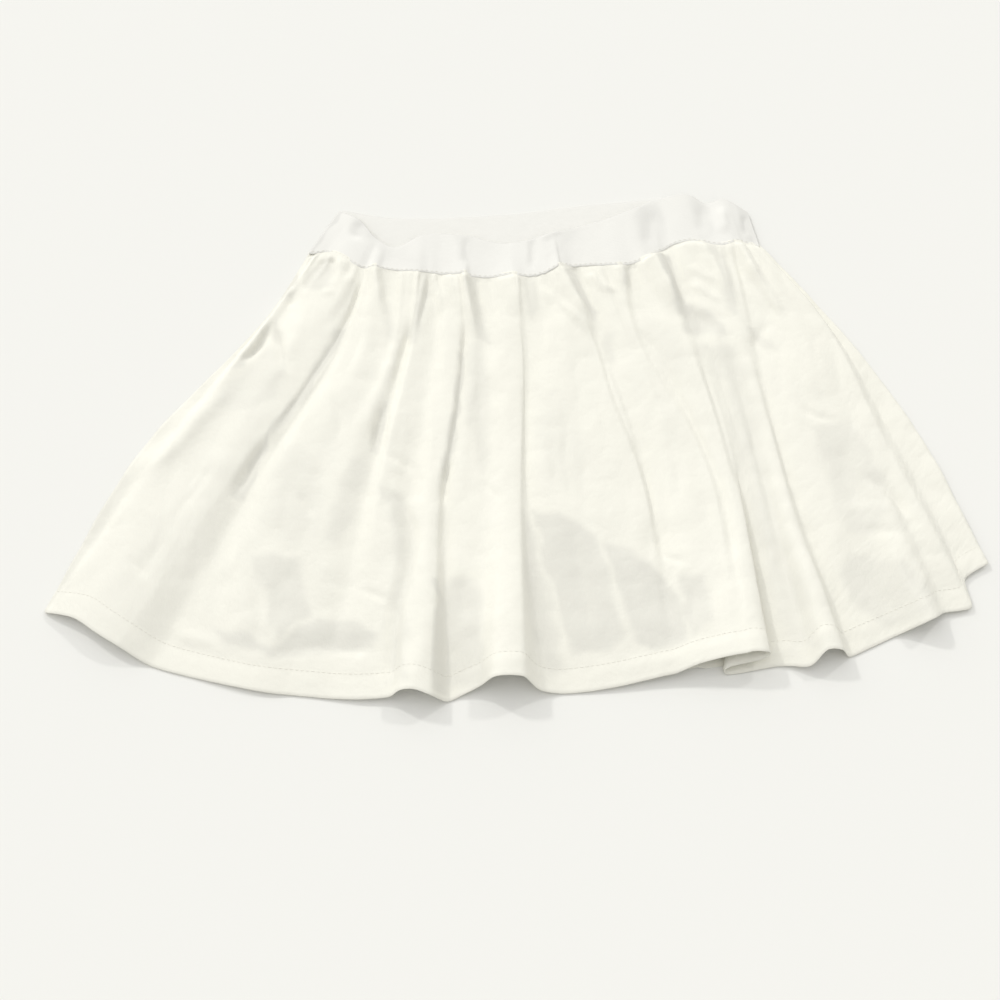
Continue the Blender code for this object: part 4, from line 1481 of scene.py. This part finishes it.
@dataclass
class Studio:
    """The pale floor, the soft light and the camera."""

    floor_size: float = 6.0
    floor_colour: tuple = (0.795, 0.790, 0.750)
    floor_roughness: float = 0.9
    floor_specular: float = 0.1
    floor_drop: float = 0.0001
    fill: float = 0.36
    ceiling: float = 0.50
    glow: float = 0.82
    glow_focus: float = 2.0
    glow_from: tuple = (-0.60, 0.62, 0.50)
    lamps: tuple = ((0.85, (-0.60, 0.72, 0.56)), (0.55, (0.56, 0.74, 0.58)))
    lamp_spread: float = 4.0
    camera_place: tuple = (0.0, 3.5, 586.0)
    camera_pitch: float = 62.0
    camera_sensor: float = 36.0
    camera_clip: tuple = (0.01, 20.0)

    def floor(self) -> None:
        """Lays the floor just under the skirt."""
        half = 0.5 * self.floor_size
        mesh = bpy.data.meshes.new("floor")
        corners = [(x * half, y * half, 0.0) for x, y in ((-1, -1), (1, -1), (1, 1), (-1, 1))]
        mesh.from_pydata(corners, [], [(0, 1, 2, 3)])
        build = FinishBuilder("pale_floor", self.floor_colour)
        mesh.materials.append(build.surface(
            Base_Color=(*self.floor_colour, 1.0), Roughness=self.floor_roughness,
            Specular_IOR_Level=self.floor_specular))
        floor = bpy.data.objects.new("floor", mesh)
        floor.location = (0.0, 0.0, -self.floor_drop)
        bpy.context.scene.collection.objects.link(floor)

    def lights(self) -> None:
        """Fills the room with soft light, stronger from above and behind the waist, with two lamps."""
        world = bpy.data.worlds.new("room")
        world.use_nodes = True
        build = NodeBuilder(world.node_tree)
        background = world.node_tree.nodes["Background"]
        towards = build.add("ShaderNodeTexCoord").outputs["Generated"]
        axis = Vector(self.glow_from).normalized()
        facing = build.add("ShaderNodeVectorMath", {"operation": "DOT_PRODUCT"}, n0=towards, n1=axis)
        lobe = build.math("POWER", build.math("MAXIMUM", facing.outputs["Value"], 0.0), self.glow_focus)
        upward = build.add("ShaderNodeSeparateXYZ", Vector=towards).outputs[2]
        overhead = build.math("MULTIPLY", build.math("MAXIMUM", upward, 0.0), self.ceiling)
        strength = build.math("ADD", build.math("ADD", overhead, self.fill),
                              build.math("MULTIPLY", lobe, self.glow))
        world.node_tree.links.new(strength, background.inputs["Strength"])
        background.inputs["Color"].default_value = (1.0, 1.0, 1.0, 1.0)
        bpy.context.scene.world = world
        for number, (energy, place) in enumerate(self.lamps):
            lamp = bpy.data.lights.new(f"lamp_{number}", "SUN")
            lamp.energy = energy
            lamp.angle = math.radians(self.lamp_spread)
            holder = bpy.data.objects.new(lamp.name, lamp)
            holder.rotation_mode = "QUATERNION"
            holder.rotation_quaternion = (-Vector(place)).to_track_quat("-Z", "Y")
            bpy.context.scene.collection.objects.link(holder)

    def camera(self) -> None:
        """Stands the camera over the hem, looking down towards the waist."""
        data = bpy.data.cameras.new("camera")
        data.lens = data.sensor_width = self.camera_sensor
        data.clip_start, data.clip_end = self.camera_clip
        camera = bpy.data.objects.new("camera", data)
        camera.location = (Vector(self.camera_place) - Vector(LAYOUT_ORIGIN)) * MM
        camera.rotation_euler = (math.radians(90.0 - self.camera_pitch), 0.0, 0.0)
        bpy.context.scene.collection.objects.link(camera)
        bpy.context.scene.camera = camera

    def build(self) -> None:
        """Sets the whole studio."""
        self.floor()
        self.lights()
        self.camera()
        bpy.context.scene.view_settings.view_transform = "Standard"
        bpy.context.scene.view_settings.look = "None"


@dataclass
class TennisSkirt:
    """The whole skirt: its panels, hems, waistband halves and stitches."""

    front: FrontPanel = field(default_factory=FrontPanel)
    back: BackPanel = field(default_factory=BackPanel)

    def place(self, piece: bpy.types.Object, slot: Slot, *nodes: str) -> bpy.types.Object:
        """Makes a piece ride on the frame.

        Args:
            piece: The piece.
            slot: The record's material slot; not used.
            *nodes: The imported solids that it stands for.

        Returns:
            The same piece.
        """
        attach(piece, "root")
        if nodes:
            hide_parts(*nodes)
        log.info("%s: %d faces", piece.name, len(piece.data.polygons))
        return piece

    def stitch(self, row: StitchRow, sheet: np.ndarray, along: int, thickness: float,
               thread: bpy.types.Material) -> bpy.types.Object:
        """Sews a row of stitches on the outer side of a sheet.

        Args:
            row: The kind of stitches.
            sheet: The sheet's middle surface.
            along: The row of its points that they follow.
            thickness: The sheet's thickness in millimetres.
            thread: The thread's finish.

        Returns:
            The stitches, placed on the frame.
        """
        up = normals(sheet)[along]
        piece = row.build(sheet[along] + up * 0.5 * thickness, up, thread)
        return self.place(piece, Slot.CLOTH)

    def build(self) -> None:
        effects = Effects()
        cloth = WovenFinish("skirt_cotton", *COTTON).material(effects)
        turned = WovenFinish("hem_cotton", *HEM_COTTON).material(effects)
        elastic = ElasticFinish("white_elastic", *WHITE_ELASTIC).material(effects)
        thread = ThreadFinish("sewing_thread", *SEWING_THREAD).material()

        back, back_grid = self.back.build(cloth)
        self.place(back, Slot.CLOTH, "skirt_back")
        hem_back = TurnedHem("back_hem", HEM_OFFSET).build(back_grid, turned)
        self.place(hem_back, Slot.CLOTH, "hem_back")
        band_back = Waistband("back_waistband", BACK_BAND_TOP, 0.5 * ELASTIC,
                              ripple=0.0).build(back_grid[0], elastic)
        self.place(band_back, Slot.ELASTIC, "waistband_back")

        front, front_grid = self.front.build(cloth, Surface(back, hem_back))
        self.place(front, Slot.CLOTH, "skirt_front")
        hem_front = TurnedHem("front_hem", -HEM_OFFSET).build(front_grid, turned)
        self.place(hem_front, Slot.CLOTH, "hem_front")
        band = Waistband("front_waistband", FRONT_BAND_TOP, 1.5 * ELASTIC + LAYER_GAP,
                         BAND_CREASES, BAND_PAINTED_SHADES)
        band_front = band.build(front_grid[0], elastic)
        self.place(band_front, Slot.ELASTIC, "waistband_front")

        hem_row = int(np.abs(self.front.rows() - HEM_LINE).argmin())
        stitches = self.stitch(StitchRow("front_hem_stitches"), front_grid, hem_row,
                               self.front.thickness, thread)
        waist_stitches = self.stitch(StitchRow("waist_stitches", length=2.2, gap=1.6, radius=0.2),
                                     band.grid(front_grid[0]), -2, band.thickness, thread)


def main() -> None:
    """Builds the skirt and its studio."""
    logging.basicConfig(level=logging.INFO, format="%(name)s: %(message)s")
    Studio().build()
    TennisSkirt().build()


if __name__ == "__main__":
    main()
